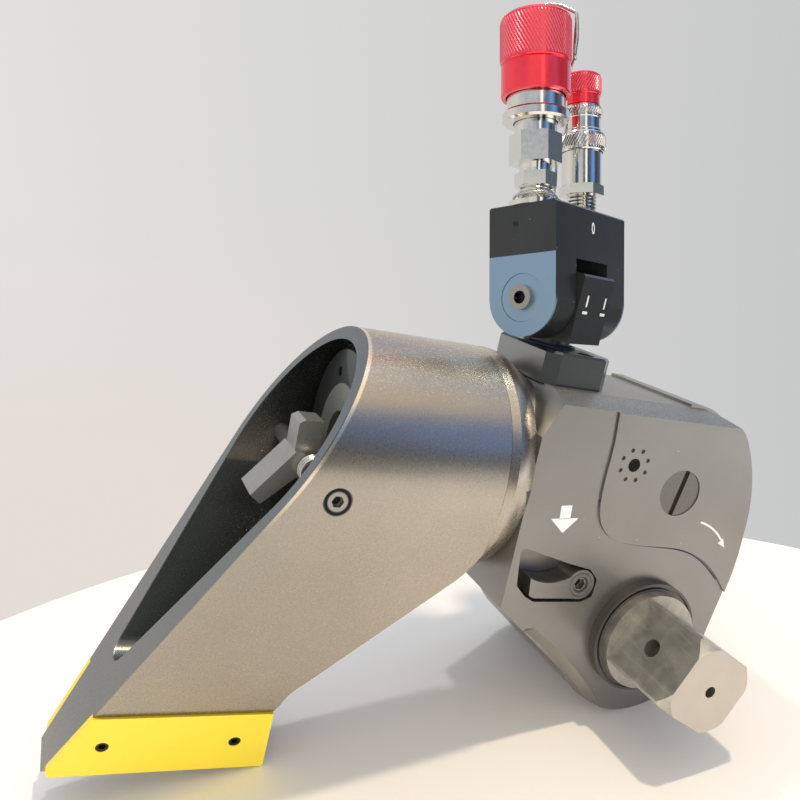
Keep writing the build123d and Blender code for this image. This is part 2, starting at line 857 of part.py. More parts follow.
# Reaction arm: tapered boot over the cylinder with a foot turned down beside the drive
with BuildPart() as reaction_arm:
    with BuildSketch(Plane.XZ):
        with BuildLine():
            foot_corner = Polyline(
                (arm_seam_x, 26.0),
                (arm_seam_x, cylinder_z + arm_radius + 1),
                (mouth_x(cylinder_z + arm_radius + 1), cylinder_z + arm_radius + 1),
                (mouth_x(arm_foot_z), arm_foot_z),
                (arm_foot_inner_x, arm_foot_z),
                (arm_foot_inner_x - 1.5, foot_plate_top_z),
                (arm_foot_inner_x, foot_plate_top_z + 2.5),
            )
            inner_low = (arm_foot_inner_x + 6, foot_plate_top_z + 11.5)
            inner_high = (arm_foot_inner_x + 43, foot_plate_top_z + 51.5)
            ThreePointArc(
                foot_corner @ 1,
                (arm_foot_inner_x + 2.2, foot_plate_top_z + 7.2),
                inner_low,
            )
            Line(inner_low, inner_high)
            ThreePointArc(inner_high, (arm_foot_inner_x + 47.8, foot_plate_top_z + 57.6), (arm_seam_x, 26.0))
        make_face()
    extrude(amount=arm_radius + 2, both=True)
    with BuildSketch(Plane.YZ.offset(arm_seam_x - 150)):
        Polygon(*arm_section(0), align=None)
        with Locations((0, cylinder_z)):
            Circle(arm_radius)
    extrude(amount=152, mode=Mode.INTERSECT)
    # Shallow seats of the foot plates
    with BuildSketch(Plane.YZ.offset(arm_seam_x - 150)):
        Polygon(*arm_section(5), align=None)
        Polygon(*arm_section(-foot_plate_depth), align=None, mode=Mode.SUBTRACT)
        with Locations((0, (arm_foot_z + foot_plate_top_z) / 2)):
            Rectangle(80, foot_plate_top_z - arm_foot_z, mode=Mode.INTERSECT)
    extrude(amount=152, mode=Mode.SUBTRACT)
    add(arm_hollow.part, mode=Mode.SUBTRACT)
    # Spline teeth inside the boot, where its wall is round
    with BuildSketch(Plane(origin=(barrel_end_x, 0, cylinder_z), x_dir=(0, 1, 0), z_dir=(1, 0, 0))):
        half_step = 180 / arm_teeth
        for tooth in range(arm_teeth):
            angle = half_step * (2 * tooth + 1)
            if math.sin(math.radians(angle)) > -math.sin(math.radians(arm_taper + 3)):
                with PolarLocations(arm_bore_radius - 0.3, 1, start_angle=angle):
                    Rectangle(1.6, arm_teeth_width)
    extrude(amount=arm_teeth_length)
    # Bores of the latch pin
    with BuildSketch(face_plane(arm_radius)):
        with Locations((latch_x, latch_z)):
            Circle(latch_pin_radius)
    extrude(amount=2 * arm_radius, mode=Mode.SUBTRACT)
    with BuildSketch(face_plane(-arm_radius + 2.3)):
        with Locations((latch_x, latch_z)):
            Circle(latch_pin_head)
    extrude(amount=5, mode=Mode.SUBTRACT)
    # Screw holes of the foot plates
    taper_cos = math.cos(math.radians(arm_taper))
    taper_sin = math.sin(math.radians(arm_taper))
    foot_screw_planes = []
    foot_mid_z = (foot_plate_top_z + arm_foot_z) / 2
    face_mid_y = (arm_radius - (cylinder_z - foot_mid_z) * taper_sin) / taper_cos + foot_plate_proud / taper_cos
    for x in (arm_foot_inner_x - 52.4, arm_foot_inner_x - 11.8):
        for side in (-1, 1):
            foot_screw_planes.append(
                Plane(origin=(x, side * face_mid_y, foot_mid_z), x_dir=(1, 0, 0), z_dir=(0, side * taper_cos, -taper_sin))
            )
    for screw_plane in foot_screw_planes:
        with BuildSketch(screw_plane.offset(-9)):
            Circle(foot_screw_shank)
        extrude(amount=12, mode=Mode.SUBTRACT)
pieces["reaction_arm"] = reaction_arm.part

for name, side in (("foot_plate_front", -1), ("foot_plate_rear", 1)):
    with BuildPart() as foot_plate:
        with BuildSketch(Plane.XZ):
            Polygon(
                (mouth_x(foot_plate_top_z), foot_plate_top_z - 0.2),
                (mouth_x(arm_foot_z), arm_foot_z),
                (arm_foot_inner_x, arm_foot_z),
                (arm_foot_inner_x - 1.5, foot_plate_top_z - 0.2),
                align=None,
            )
            fillet(vertices().group_by(Axis.X)[0], radius=2)
        extrude(amount=arm_radius, both=True)
        with BuildSketch(Plane.YZ.offset(arm_seam_x - 150)):
            Polygon(*arm_section(foot_plate_proud), align=None)
            Polygon(*arm_section(-foot_plate_depth), align=None, mode=Mode.SUBTRACT)
            with Locations((side * 40, foot_mid_z)):
                Rectangle(80, 2 * (foot_plate_top_z - arm_foot_z), mode=Mode.INTERSECT)
        extrude(amount=152, mode=Mode.INTERSECT)
        for screw_plane in foot_screw_planes:
            with BuildSketch(screw_plane.offset(-2.2)):
                Circle(foot_screw_head)
            extrude(amount=3, mode=Mode.SUBTRACT)
            with BuildSketch(screw_plane.offset(-9)):
                Circle(foot_screw_shank)
            extrude(amount=12, mode=Mode.SUBTRACT)
    pieces[name] = foot_plate.part

with BuildPart() as foot_screws:
    for screw_plane in foot_screw_planes:
        with BuildSketch(screw_plane.offset(-2.2)):
            Circle(foot_screw_head)
        extrude(amount=2)
        with BuildSketch(screw_plane.offset(-8)):
            Circle(foot_screw_shank)
        extrude(amount=6)
        with BuildSketch(screw_plane.offset(-1.6)):
            RegularPolygon(0.6 * foot_screw_head, 6)
        extrude(amount=3, mode=Mode.SUBTRACT)
pieces["foot_screws"] = foot_screws.part

# Latch: pin across the mouth, rocking lever with thumb pad and hook, and its coil spring
with BuildPart() as latch_pin:
    with BuildSketch(face_plane(arm_radius - 1)):
        with Locations((latch_x, latch_z)):
            Circle(latch_pin_radius)
    extrude(amount=2 * arm_radius - 3)
    with BuildSketch(face_plane(-arm_radius + 2.3)):
        with Locations((latch_x, latch_z)):
            Circle(latch_pin_head)
    extrude(amount=1.5)
    with BuildSketch(face_plane(-arm_radius + 3)):
        with Locations((latch_x, latch_z)):
            RegularPolygon(1.9, 6)
    extrude(amount=5, mode=Mode.SUBTRACT)
pieces["latch_pin"] = latch_pin.part

with BuildPart() as latch_lever:
    with BuildSketch(face_plane(latch_width / 2)):
        Polygon(
            (latch_x - 5.7, latch_z + 4.7),
            (latch_x - 17.7, latch_z - 10.3),
            (latch_x - 14.2, latch_z - 13.0),
            (latch_x - 3.2, latch_z - 2.4),
            (latch_x - 2.6, latch_z + 4.4),
            align=None,
        )
    extrude(amount=latch_width)
    with BuildSketch(face_plane(5.5)):
        with Locations((latch_x, latch_z)):
            Circle(5.6)
        Polygon(
            (latch_x - 5.7, latch_z + 2),
            (latch_x - 5.7, latch_z + 13.5),
            (latch_x - 3.7, latch_z + 14.7),
            (latch_x + 2.3, latch_z + 14.7),
            (latch_x + 2.3, latch_z + 2),
            align=None,
        )
    extrude(amount=11)
    with BuildSketch(face_plane(3)):
        Polygon(
            (latch_x + 2, latch_z - 1.8),
            (latch_x + 2, latch_z + 2.9),
            (cap_face_x + catch_thickness + 4, latch_z + 2.9),
            (cap_face_x + catch_thickness + 4, latch_z - 3.4),
            (cap_face_x + catch_thickness + 3, latch_z - 4.6),
            (cap_face_x + catch_thickness + 0.3, latch_z - 4.6),
            (cap_face_x + catch_thickness + 0.3, latch_z - 1.8),
            align=None,
        )
    extrude(amount=6)
    with BuildSketch(face_plane(latch_width)):
        with Locations((latch_x, latch_z)):
            Circle(latch_pin_radius + running_gap)
    extrude(amount=2 * latch_width, mode=Mode.SUBTRACT)
pieces["latch_lever"] = latch_lever.part

with BuildPart() as latch_spring:
    for side in (-1, 1):
        for turn in range(3):
            with BuildSketch(Plane.XY.offset(latch_z)):
                with Locations((latch_x + latch_pin_radius + 1.2, side * (latch_width / 2 + 1.1 + 1.6 * turn))):
                    Circle(0.76)
            revolve(axis=Axis((latch_x, 0, latch_z), (0, 1, 0)))
pieces["latch_spring"] = latch_spring.part

# Release lever, its shaft and the holding pawl keyed on it
lever_rear_y = -head_half_width + release_pocket_depth - loose_gap
with BuildPart() as release_lever:
    with BuildSketch(face_plane(lever_rear_y)):
        with Locations(pawl_top):
            Circle(5.2)
        with BuildLine():
            Polyline(
                (release_x + 1.5, release_z - 4.98),
                (release_x - 17, release_z - 5.3),
                (release_x - 18.9, release_z - 4.4),
                (release_x - 19.7, release_z + 1.6),
            )
            ThreePointArc(
                (release_x - 19.7, release_z + 1.6),
                (release_x - 12.3, release_z + 0.2),
                (release_x - 4.6, release_z + 2.4),
            )
            Line((release_x - 4.6, release_z + 2.4), (release_x + 1.5, release_z - 4.98))
        make_face()
    extrude(amount=release_pocket_depth)
    with BuildSketch(face_plane(lever_rear_y + 1)):
        with Locations(pawl_top):
            Circle(release_screw_radius)
    extrude(amount=release_pocket_depth + 2, mode=Mode.SUBTRACT)
pieces["release_lever"] = release_lever.part

with BuildPart() as lever_screw:
    with BuildSketch(face_plane(lever_rear_y)):
        with Locations(pawl_top):
            Circle(release_screw_radius)
    extrude(amount=release_pocket_depth - 0.6)
    with BuildSketch(face_plane(lever_rear_y - release_pocket_depth + 3)):
        with Locations(pawl_top):
            RegularPolygon(2.1, 6)
    extrude(amount=4, mode=Mode.SUBTRACT)
pieces["lever_screw"] = lever_screw.part

with BuildPart() as lever_shaft:
    with BuildSketch(face_plane(cavity_half_width + 5)):
        with Locations(pawl_top):
            Circle(release_shaft_radius)
    extrude(amount=cavity_half_width + 5 - lever_rear_y)
pieces["lever_shaft"] = lever_shaft.part

with BuildPart() as reaction_pawl:
    with BuildSketch(face_plane(ratchet_half_width - 0.5)):
        with Locations(pawl_top):
            Circle(6.6)
        Polygon(
            (release_x - 6.2, release_z - 1),
            polar(ratchet_tip + 5.2, hook_angle - 8),
            polar(ratchet_tip + 4.0, hook_angle + 2),
            polar(ratchet_tip + 1.2, hook_angle + 7),
            polar(ratchet_root + 2.4, hook_angle + 6),
            polar(ratchet_root + 1.5, hook_angle + 0.7),
            polar(ratchet_tip + 1.0, hook_angle + 0.4),
            polar(ratchet_tip + 1.0, hook_angle - 8),
            (release_x + 4.8, release_z - 4),
            align=None,
        )
        with Locations(pawl_top):
            Circle(release_shaft_radius, mode=Mode.SUBTRACT)
    extrude(amount=2 * (ratchet_half_width - 0.5))
pieces["reaction_pawl"] = reaction_pawl.part

# Hose swivel
base_top_z = head_top_z + swivel_base_height
with BuildPart() as swivel_base:
    with BuildSketch(Plane.XY.offset(head_top_z)):
        with Locations((swivel_x + swivel_base_shift, 0)):
            Rectangle(swivel_base_length, swivel_base_width)
        chamfer(vertices(), length=4)
    extrude(amount=swivel_base_height)
    chamfer(swivel_base.edges().group_by(Axis.Z)[-1], 0.8)
    with BuildSketch(Plane.XY.offset(head_top_z)):
        with Locations((swivel_x, 0)):
            Circle(neck_radius + running_gap)
    extrude(amount=swivel_base_height, mode=Mode.SUBTRACT)
    with BuildSketch(Plane.XY.offset(head_top_z)):
        with Locations((swivel_x, 0)):
            Circle(9.5)
    extrude(amount=2.6, mode=Mode.SUBTRACT)
    with BuildSketch(Plane.XY.offset(base_top_z - 1.2)):
        with Locations((swivel_x, 0)):
            Circle(neck_radius + 2.4)
    extrude(amount=2, mode=Mode.SUBTRACT)
    with BuildSketch(Plane.XY.offset(head_top_z)):
        with Locations(*[(swivel_x + dx, dy) for dx in (-5.2, 5.2) for dy in (-15.4, 15.4)]):
            Circle(1.6)
    extrude(amount=swivel_base_height, mode=Mode.SUBTRACT)
    with BuildSketch(Plane.XY.offset(base_top_z - 3)):
        with Locations(*[(swivel_x + dx, dy) for dx in (-5.2, 5.2) for dy in (-15.4, 15.4)]):
            Circle(2.9)
    extrude(amount=4, mode=Mode.SUBTRACT)
pieces["swivel_base"] = swivel_base.part

with BuildPart() as base_screws:
    with BuildSketch(Plane.XY.offset(head_top_z)):
        with Locations(*[(swivel_x + dx, dy) for dx in (-5.2, 5.2) for dy in (-15.4, 15.4)]):
            Circle(1.6)
    extrude(amount=swivel_base_height - 3)
    with BuildSketch(Plane.XY.offset(base_top_z - 3)):
        with Locations(*[(swivel_x + dx, dy) for dx in (-5.2, 5.2) for dy in (-15.4, 15.4)]):
            Circle(2.8)
    extrude(amount=2.7)
    with BuildSketch(Plane.XY.offset(base_top_z - 1.8)):
        with Locations(*[(swivel_x + dx, dy) for dx in (-5.2, 5.2) for dy in (-15.4, 15.4)]):
            RegularPolygon(1.5, 6)
    extrude(amount=3, mode=Mode.SUBTRACT)
pieces["base_screws"] = base_screws.part

with BuildPart() as swivel_seal:
    with BuildSketch(Plane.XZ):
        with Locations((swivel_x + neck_radius + 1.35, base_top_z - 0.25)):
            Circle(0.95)
    revolve(axis=Axis((swivel_x, 0, 0), (0, 0, 1)))
pieces["swivel_seal"] = swivel_seal.part

pin_dir = Vector(math.cos(math.radians(swivel_azimuth)), math.sin(math.radians(swivel_azimuth)), 0)
up = Vector(0, 0, 1)
pin_point = Vector(swivel_x, 0, swivel_pin_z)
block_up = up * math.cos(math.radians(swivel_tilt)) + pin_dir.cross(up) * math.sin(math.radians(swivel_tilt))
post_side = Plane(origin=pin_point, x_dir=up.cross(pin_dir), z_dir=pin_dir)
block_side = Plane(origin=pin_point, x_dir=block_up.cross(pin_dir), z_dir=pin_dir)

with BuildPart() as swivel_post:
    with BuildSketch(post_side):
        with Locations((0, (post_top - post_bottom) / 2)):
            Rectangle(2 * post_half_depth, post_top + post_bottom)
        chamfer(vertices().group_by(Axis.Y)[-1], length=0.7)
    extrude(amount=slot_half_length - play, both=True)
    with BuildSketch(Plane.XY.offset(head_top_z + 0.5)):
        with Locations((swivel_x, 0)):
            Circle(neck_radius)
    extrude(amount=swivel_pin_z - post_bottom - head_top_z)
    with BuildSketch(Plane.XY.offset(head_top_z + 0.9)):
        with Locations((swivel_x, 0)):
            Circle(neck_radius + 3)
            Circle(neck_radius - 1, mode=Mode.SUBTRACT)
    extrude(amount=1.4, mode=Mode.SUBTRACT)
    with BuildSketch(post_side):
        Circle(swivel_pin_radius + running_gap)
    extrude(amount=block_half_length, both=True, mode=Mode.SUBTRACT)
pieces["swivel_post"] = swivel_post.part

with BuildPart() as post_clip:
    with BuildSketch(Plane.XY.offset(head_top_z + 0.9)):
        with Locations((swivel_x, 0)):
            Circle(neck_radius + 2)
            Circle(neck_radius - 1, mode=Mode.SUBTRACT)
    extrude(amount=1.4)
pieces["post_clip"] = post_clip.part

with BuildPart() as swivel_block:
    with BuildSketch(block_side):
        Circle(block_half_width)
        with Locations((0, block_top / 2)):
            Rectangle(2 * block_half_width, block_top)
    extrude(amount=block_half_length, both=True)
    chamfer(swivel_block.edges().group_by(SortBy.LENGTH)[-1], 0.6)
    # Slot with a round top, in which the post's corners swing
    with BuildSketch(block_side):
        Circle(slot_radius)
        with Locations((0, -slot_radius)):
            Rectangle(2 * slot_radius, 2 * slot_radius)
    extrude(amount=slot_half_length, both=True, mode=Mode.SUBTRACT)
    with BuildSketch(block_side):
        Circle(swivel_pin_radius)
    extrude(amount=block_half_length, both=True, mode=Mode.SUBTRACT)
    for side in (-1, 1):
        with BuildSketch(block_side.offset(side * (block_half_length - 0.8))):
            Circle(7.8)
        extrude(amount=side * 2, mode=Mode.SUBTRACT)
pieces["swivel_block"] = swivel_block.part

with BuildPart() as swivel_pin:
    with BuildSketch(block_side):
        Circle(swivel_pin_radius)
    extrude(amount=block_half_length - 0.8, both=True)
pieces["swivel_pin"] = swivel_pin.part

with BuildPart() as pin_screws:
    for side in (-1, 1):
        with BuildSketch(block_side.offset(side * (block_half_length - 0.8))):
            Circle(7.7)
        extrude(amount=side * 0.6)
        with BuildSketch(block_side.offset(side * (block_half_length - 0.3))):
            Circle(4)
        extrude(amount=side * 1.7)
        with BuildSketch(block_side.offset(side * (block_half_length - 0.2))):
            RegularPolygon(2.2, 6)
        extrude(amount=side * 3, mode=Mode.SUBTRACT)
pieces["pin_screws"] = pin_screws.part


def port_plane(offset_along, height):
    """Plane across one coupling at a height above the block's top."""
    return Plane(
        origin=pin_point + pin_dir * offset_along + block_up * (block_top + height), x_dir=pin_dir, z_dir=block_up
    )


def turned_plane(offset_along):
    """Plane through one coupling's axis, radius across and height up."""
    return Plane(
        origin=pin_point + pin_dir * offset_along + block_up * block_top,
        x_dir=pin_dir,
        z_dir=pin_dir.cross(block_up),
    )


def port_axis(offset_along):
    """Axis of one coupling."""
    return Axis(pin_point + pin_dir * offset_along, block_up)


# Advance line: adapter nut, coupler body, sliding sleeve and red dust cap
with BuildPart() as advance_adapter:
    with BuildSketch(turned_plane(port_offset)):
        Polygon((0, 0), (8.8, 0), (8.8, 1.6), (5.4, 1.6), (5.4, 12), (5.5, 14), (0, 14), align=None)
    revolve(axis=port_axis(port_offset))
    with BuildSketch(port_plane(port_offset, 6.5)):
        RegularPolygon(6.9, 6)
    extrude(amount=4.5)
pieces["advance_adapter"] = advance_adapter.part

with BuildPart() as advance_coupler:
    with BuildSketch(port_plane(port_offset, 14)):
        RegularPolygon(8.6, 6)
    extrude(amount=9.6)
    with BuildSketch(turned_plane(port_offset)):
        Polygon((0, 14), (7, 14), (7, 49), (5.6, 50.5), (0, 50.5), align=None)
    revolve(axis=port_axis(port_offset))
pieces["advance_coupler"] = advance_coupler.part

with BuildPart() as advance_sleeve:
    with BuildSketch(turned_plane(port_offset)):
        Polygon(
            (7.3, 27.3),
            (10.2, 27.3),
            (10.9, 28.0),
            (10.9, 30.3),
            (10.2, 31.0),
            (9.4, 31.0),
            (9.4, 47),
            (7.3, 47),
            align=None,
        )
    revolve(axis=port_axis(port_offset))
pieces["advance_sleeve"] = advance_sleeve.part

with BuildPart() as advance_cap:
    with BuildSketch(turned_plane(port_offset)):
        Polygon(
            (9.8, 35.7),
            (cap_radius - 0.3, 35.7),
            (cap_radius, 36.2),
            (cap_radius, 45.5),
            (cap_radius - 0.5, 46),
            (cap_radius, 46.5),
            (cap_radius, cap_top - 1),
            (cap_radius - 1, cap_top),
            (0, cap_top),
            (0, 56),
            (9.8, 56),
            align=None,
        )
    revolve(axis=port_axis(port_offset))
pieces["advance_cap"] = advance_cap.part

# Return line: slimmer nipple, ring and cap
with BuildPart() as retract_adapter:
    with BuildSketch(turned_plane(-port_offset)):
        Polygon((0, 0), (5, 0), (5, 12), (0, 12), align=None)
    revolve(axis=port_axis(-port_offset))
    with BuildSketch(port_plane(-port_offset, 8.6)):
        RegularPolygon(7.8, 6)
    extrude(amount=3.4)
pieces["retract_adapter"] = retract_adapter.part

with BuildPart() as retract_coupler:
    with BuildSketch(turned_plane(-port_offset)):
        Polygon(
            (0, 12), (7.1, 12), (7.1, 31), (6.7, 31.5), (6.7, 35.2), (6.9, 35.5), (6.9, 39.4), (6.4, 39.8),
            (5, 39.8), (5, 47), (0, 47), align=None,
        )
    revolve(axis=port_axis(-port_offset))
pieces["retract_coupler"] = retract_coupler.part

with BuildPart() as retract_sleeve:
    with BuildSketch(turned_plane(-port_offset)):
        Polygon((7.4, 23.6), (7.9, 23.6), (8.2, 24), (8.2, 29.6), (7.9, 30), (7.4, 30), align=None)
    revolve(axis=port_axis(-port_offset))
pieces["retract_sleeve"] = retract_sleeve.part

with BuildPart() as retract_cap:
    with BuildSketch(turned_plane(-port_offset)):
        Polygon(
            (5.3, 40.1), (6.3, 40.1), (6.3, 43.4), (6.6, 43.7), (6.6, 50.4), (6.0, 51), (0, 51), (0, 48), (5.3, 48),
            align=None,
        )
    revolve(axis=port_axis(-port_offset))
pieces["retract_cap"] = retract_cap.part

# Bent retainer wire that reaches over the pressure cap and hangs down beside it
wire_side = pin_dir * math.cos(math.radians(wire_turn)) + block_up.cross(pin_dir) * math.sin(math.radians(wire_turn))
wire_plane = Plane(
    origin=pin_point + pin_dir * port_offset + block_up * block_top,
    x_dir=wire_side,
    z_dir=wire_side.cross(block_up),
)
with BuildPart() as cap_wire:
    with BuildLine(wire_plane):
        wire_path = FilletPolyline(
            (0, cap_top + 0.5),
            (1.3, cap_top + 2.9),
            (4.4, cap_top + 4.2),
            (8.4, cap_top + 3.2),
            (cap_radius + 1.6, cap_top + 0.6),
            (cap_radius + 1.8, cap_top - 3.0),
            (cap_radius + 1.8, cap_top - 8.0),
            (cap_radius + 1.2, cap_top - 12.0),
            radius=1.3,
        )
    with BuildSketch(Plane(origin=wire_path @ 0, z_dir=wire_path % 0)):
        Circle(wire_radius)
    sweep()
    with BuildSketch(port_plane(port_offset, cap_top)):
        Circle(2.2)
    extrude(amount=1.0)
pieces["cap_wire"] = cap_wire.part

# Lean the tool onto the foot and the nose, and set the origin under its middle
reach = math.hypot(arm_foot_inner_x, arm_foot_z)
lean = math.degrees(math.atan2(-arm_foot_z, -arm_foot_inner_x) - math.asin(nose_radius / reach))
boxes = []
for name, piece in pieces.items():
    pieces[name] = piece.rotate(Axis.Y, lean)
    boxes.append(pieces[name].bounding_box())
shift = Vector(
    -(min(box.min.X for box in boxes) + max(box.max.X for box in boxes)) / 2,
    -(min(box.min.Y for box in boxes) + max(box.max.Y for box in boxes)) / 2,
    -min(box.min.Z for box in boxes),
)
for name, piece in pieces.items():
    placed = piece.translate(shift)
    placed.label = name
    export_step(placed, f"parts/{name}.step")
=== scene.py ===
"""Finishes, markings, knurls and studio for the hydraulic torque wrench."""

import math

import bmesh
import bpy
from mathutils import Matrix, Vector


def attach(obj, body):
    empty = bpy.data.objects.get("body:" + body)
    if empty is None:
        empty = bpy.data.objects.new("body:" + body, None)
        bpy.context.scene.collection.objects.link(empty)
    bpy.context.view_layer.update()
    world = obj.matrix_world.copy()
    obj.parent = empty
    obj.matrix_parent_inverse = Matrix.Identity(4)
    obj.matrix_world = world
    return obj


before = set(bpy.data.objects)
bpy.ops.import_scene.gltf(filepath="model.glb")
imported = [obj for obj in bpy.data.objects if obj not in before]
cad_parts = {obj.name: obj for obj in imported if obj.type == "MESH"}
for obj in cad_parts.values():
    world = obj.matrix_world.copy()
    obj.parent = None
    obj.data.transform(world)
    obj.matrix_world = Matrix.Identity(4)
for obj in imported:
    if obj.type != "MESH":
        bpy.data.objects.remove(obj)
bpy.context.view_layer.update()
bpy.ops.object.select_all(action="DESELECT")

# The tool's own directions: X along the cylinder, -Y out of the square drive, Z up the head.
# Sizes below are millimetres in those directions; the tool leans by this angle on its foot and nose.
lean = math.radians(14.60075)
stand_at = Vector((0.075936, 0.0148, 0.030))
millimetre = 0.001
tool_to_stand = (
    Matrix.Translation(stand_at) @ Matrix.Rotation(lean, 4, "Y") @ Matrix.Scale(millimetre, 4)
)

# The swivel: its post turns about an upright axis, its block tilts about the pin and carries two
# fittings. The block's own directions are along the pin, out of its front and up.
up = Vector((0, 0, 1))
pin_point = Vector((-41.5, 0, 105.5))
pin_azimuth = math.radians(206.9)
block_tilt = math.radians(15.4)
pin_dir = Vector((math.cos(pin_azimuth), math.sin(pin_azimuth), 0))
block_up = up * math.cos(block_tilt) + pin_dir.cross(up) * math.sin(block_tilt)
block_out = block_up.cross(pin_dir)
fitting_reach = 15.2
block_top = pin_point + block_up * 30.1
advance_foot = block_top + pin_dir * fitting_reach
retract_foot = block_top - pin_dir * fitting_reach

# The release lever's screw, the front face and the field that stands out from it
lever_x, lever_z = -29.4, 17.4
front_y = -34.0
field_y = -34.8


# Shader arithmetic
class Amount:
    """One value of a finish, with the arithmetic that joins it to others."""

    def __init__(self, finish, socket):
        self.finish = finish
        self.socket = socket

    def math(self, operation, *others):
        return self.finish.node("ShaderNodeMath", {"operation": operation}, 0, self, *others)

    def __add__(self, other):
        return self.math("ADD", other)

    __radd__ = __add__

    def __sub__(self, other):
        return self.math("SUBTRACT", other)

    def __rsub__(self, other):
        return self.finish.node("ShaderNodeMath", {"operation": "SUBTRACT"}, 0, other, self)

    def __mul__(self, other):
        return self.math("MULTIPLY", other)

    def __truediv__(self, other):
        return self.math("DIVIDE", other)

    def clamp(self):
        return self.finish.node("ShaderNodeClamp", {}, 0, self, 0.0, 1.0)

    def over(self, level, soft):
        """1 where the amount is above a level, with a soft edge."""
        return ((self - level) / soft + 0.5).clamp()

    def under(self, level, soft):
        """1 where the amount is below a level, with a soft edge."""
        return 1 - self.over(level, soft)


class Wiring:
    """A node tree to which values are added one node at a time."""

    def __init__(self, tree):
        self.tree = tree

    def node(self, kind, settings, output, *values, **named):
        """Add a node, fill its inputs in their order or by name, and give one of its outputs."""
        made = self.tree.nodes.new(kind)
        for key, value in settings.items():
            setattr(made, key, value)
        sockets = [socket for socket in made.inputs if socket.enabled]
        pairs = list(zip(sockets, values))
        pairs += [(made.inputs[key.replace("_", " ")], value) for key, value in named.items()]
        for socket, value in pairs:
            if isinstance(value, Amount):
                self.tree.links.new(value.socket, socket)
            else:
                socket.default_value = value
        if isinstance(output, str):
            return Amount(self, made.outputs[output])
        return Amount(self, [socket for socket in made.outputs if socket.enabled][output])

    def split(self, vector):
        """The three parts of a vector."""
        made = self.tree.nodes.new("ShaderNodeSeparateXYZ")
        self.tree.links.new(vector.socket, made.inputs[0])
        return [Amount(self, socket) for socket in made.outputs]

    def mix(self, amount, low, high):
        """Colour between two others, each a plain colour or an earlier result."""
        low = low if isinstance(low, Amount) else (*low, 1)
        high = high if isinstance(high, Amount) else (*high, 1)
        return self.node("ShaderNodeMix", {"data_type": "RGBA"}, 0, amount, low, high)

    def ramp(self, amount, stops):
        """Colour that follows an amount through stops of position and colour."""
        made = self.node("ShaderNodeValToRGB", {}, "Color", amount)
        elements = made.socket.node.color_ramp.elements
        while len(elements) < len(stops):
            elements.new(0.5)
        for element, (position, colour) in zip(elements, stops):
            element.position = position
            element.color = (*colour, 1)
        return made

    def part_along(self, vector, direction):
        """How far a vector reaches in a direction."""
        return self.node(
            "ShaderNodeVectorMath", {"operation": "DOT_PRODUCT"}, "Value", vector, direction
        )


class Finish(Wiring):
    """A material with one Principled surface and coordinates in the tool's own millimetres."""

    def __init__(self, name, **surface):
        self.material = bpy.data.materials.new(name)
        self.material.use_nodes = True
        super().__init__(self.material.node_tree)
        self.surface = self.tree.nodes["Principled BSDF"]
        for socket, value in surface.items():
            self.surface.inputs[socket.replace("_", " ")].default_value = value
        self.seat = self.tree.nodes.new("ShaderNodeTexCoord")
        turn = self.tree.nodes.new("ShaderNodeMapping")
        turn.vector_type = "TEXTURE"
        turn.inputs["Location"].default_value = stand_at
        turn.inputs["Rotation"].default_value = (0, lean, 0)
        turn.inputs["Scale"].default_value = (millimetre, millimetre, millimetre)
        self.tree.links.new(self.seat.outputs["Object"], turn.inputs["Vector"])
        self.place = Amount(self, turn.outputs["Vector"])
        self.x, self.y, self.z = self.split(self.place)

    def facing(self):
        """How far the surface looks right, back and up, each from -1 to 1."""
        return self.split(Amount(self, self.seat.outputs["Normal"]))

    def noise(self, scale, detail, stretch=None, rough=0.55):
        """Cloudy pattern from 0 to 1; a stretch draws it out along an axis."""
        place = self.place
        if stretch:
            place = self.node(
                "ShaderNodeVectorMath", {"operation": "MULTIPLY"}, 0, place, stretch
            )
        return self.node(
            "ShaderNodeTexNoise", {}, "Fac",
            Vector=place, Scale=scale, Detail=detail, Roughness=rough,
        )

    def specks(self, scale):
        """Distance from the nearest of many scattered points."""
        return self.node(
            "ShaderNodeTexVoronoi", {"feature": "F1"}, "Distance", Vector=self.place, Scale=scale
        )

    def feed(self, socket, amount):
        self.tree.links.new(amount.socket, self.surface.inputs[socket])

    def bump(self, height, depth, strength):
        """Relief from a height, with its depth in millimetres."""
        made = self.node(
            "ShaderNodeBump", {}, "Normal",
            Strength=strength, Distance=depth * millimetre, Height=height,
        )
        self.feed("Normal", made)

    def away_from(self, point):
        """The way from a point to the place on the surface."""
        return self.node(
            "ShaderNodeVectorMath", {"operation": "SUBTRACT"}, 0, self.place, point
        )

    def round_about(self, centre, along):
        """Distance from an axis through a point, in millimetres."""
        away = self.away_from(centre)
        length = self.part_along(away, along)
        total = self.node("ShaderNodeVectorMath", {"operation": "LENGTH"}, "Value", away)
        return (total * total - length * length).math("SQRT")


# Finishes
def head_alloy():
    """Hard anodised head: neutral grey with fine grain, a sandy upper bevel, small nicks and painted
    shade on the upper front face.
    """
    paint = Finish("head_alloy", Metallic=0.92)
    cloud = paint.noise(0.03, 3)
    grain = paint.noise(1.7, 4)
    sand = paint.noise(2.6, 2, rough=0.8).over(0.56, 0.1)
    upward = paint.facing()[2].over(0.75, 0.1)
    nick = paint.specks(0.16).under(0.035, 0.02)
    painted_shade_upper_front = paint.z.over(62, 50) * paint.y.under(-30, 4)
    base = paint.mix(
        (cloud * 0.7 + grain * 0.3).clamp(), (0.25, 0.245, 0.235), (0.38, 0.37, 0.345)
    )
    # Painted shade: the front face is painted darker toward its top.
    base = paint.mix(painted_shade_upper_front * 0.3, base, (0.17, 0.175, 0.18))
    base = paint.mix(sand * upward * 0.55, base, (0.66, 0.62, 0.54))
    base = paint.mix(nick * 0.7, base, (0.7, 0.67, 0.6))
    paint.feed("Base Color", base)
    paint.feed("Roughness", 0.26 + grain * 0.16 + upward * 0.08)
    paint.bump(grain + sand * upward, 0.04, 0.35)
    return paint.material


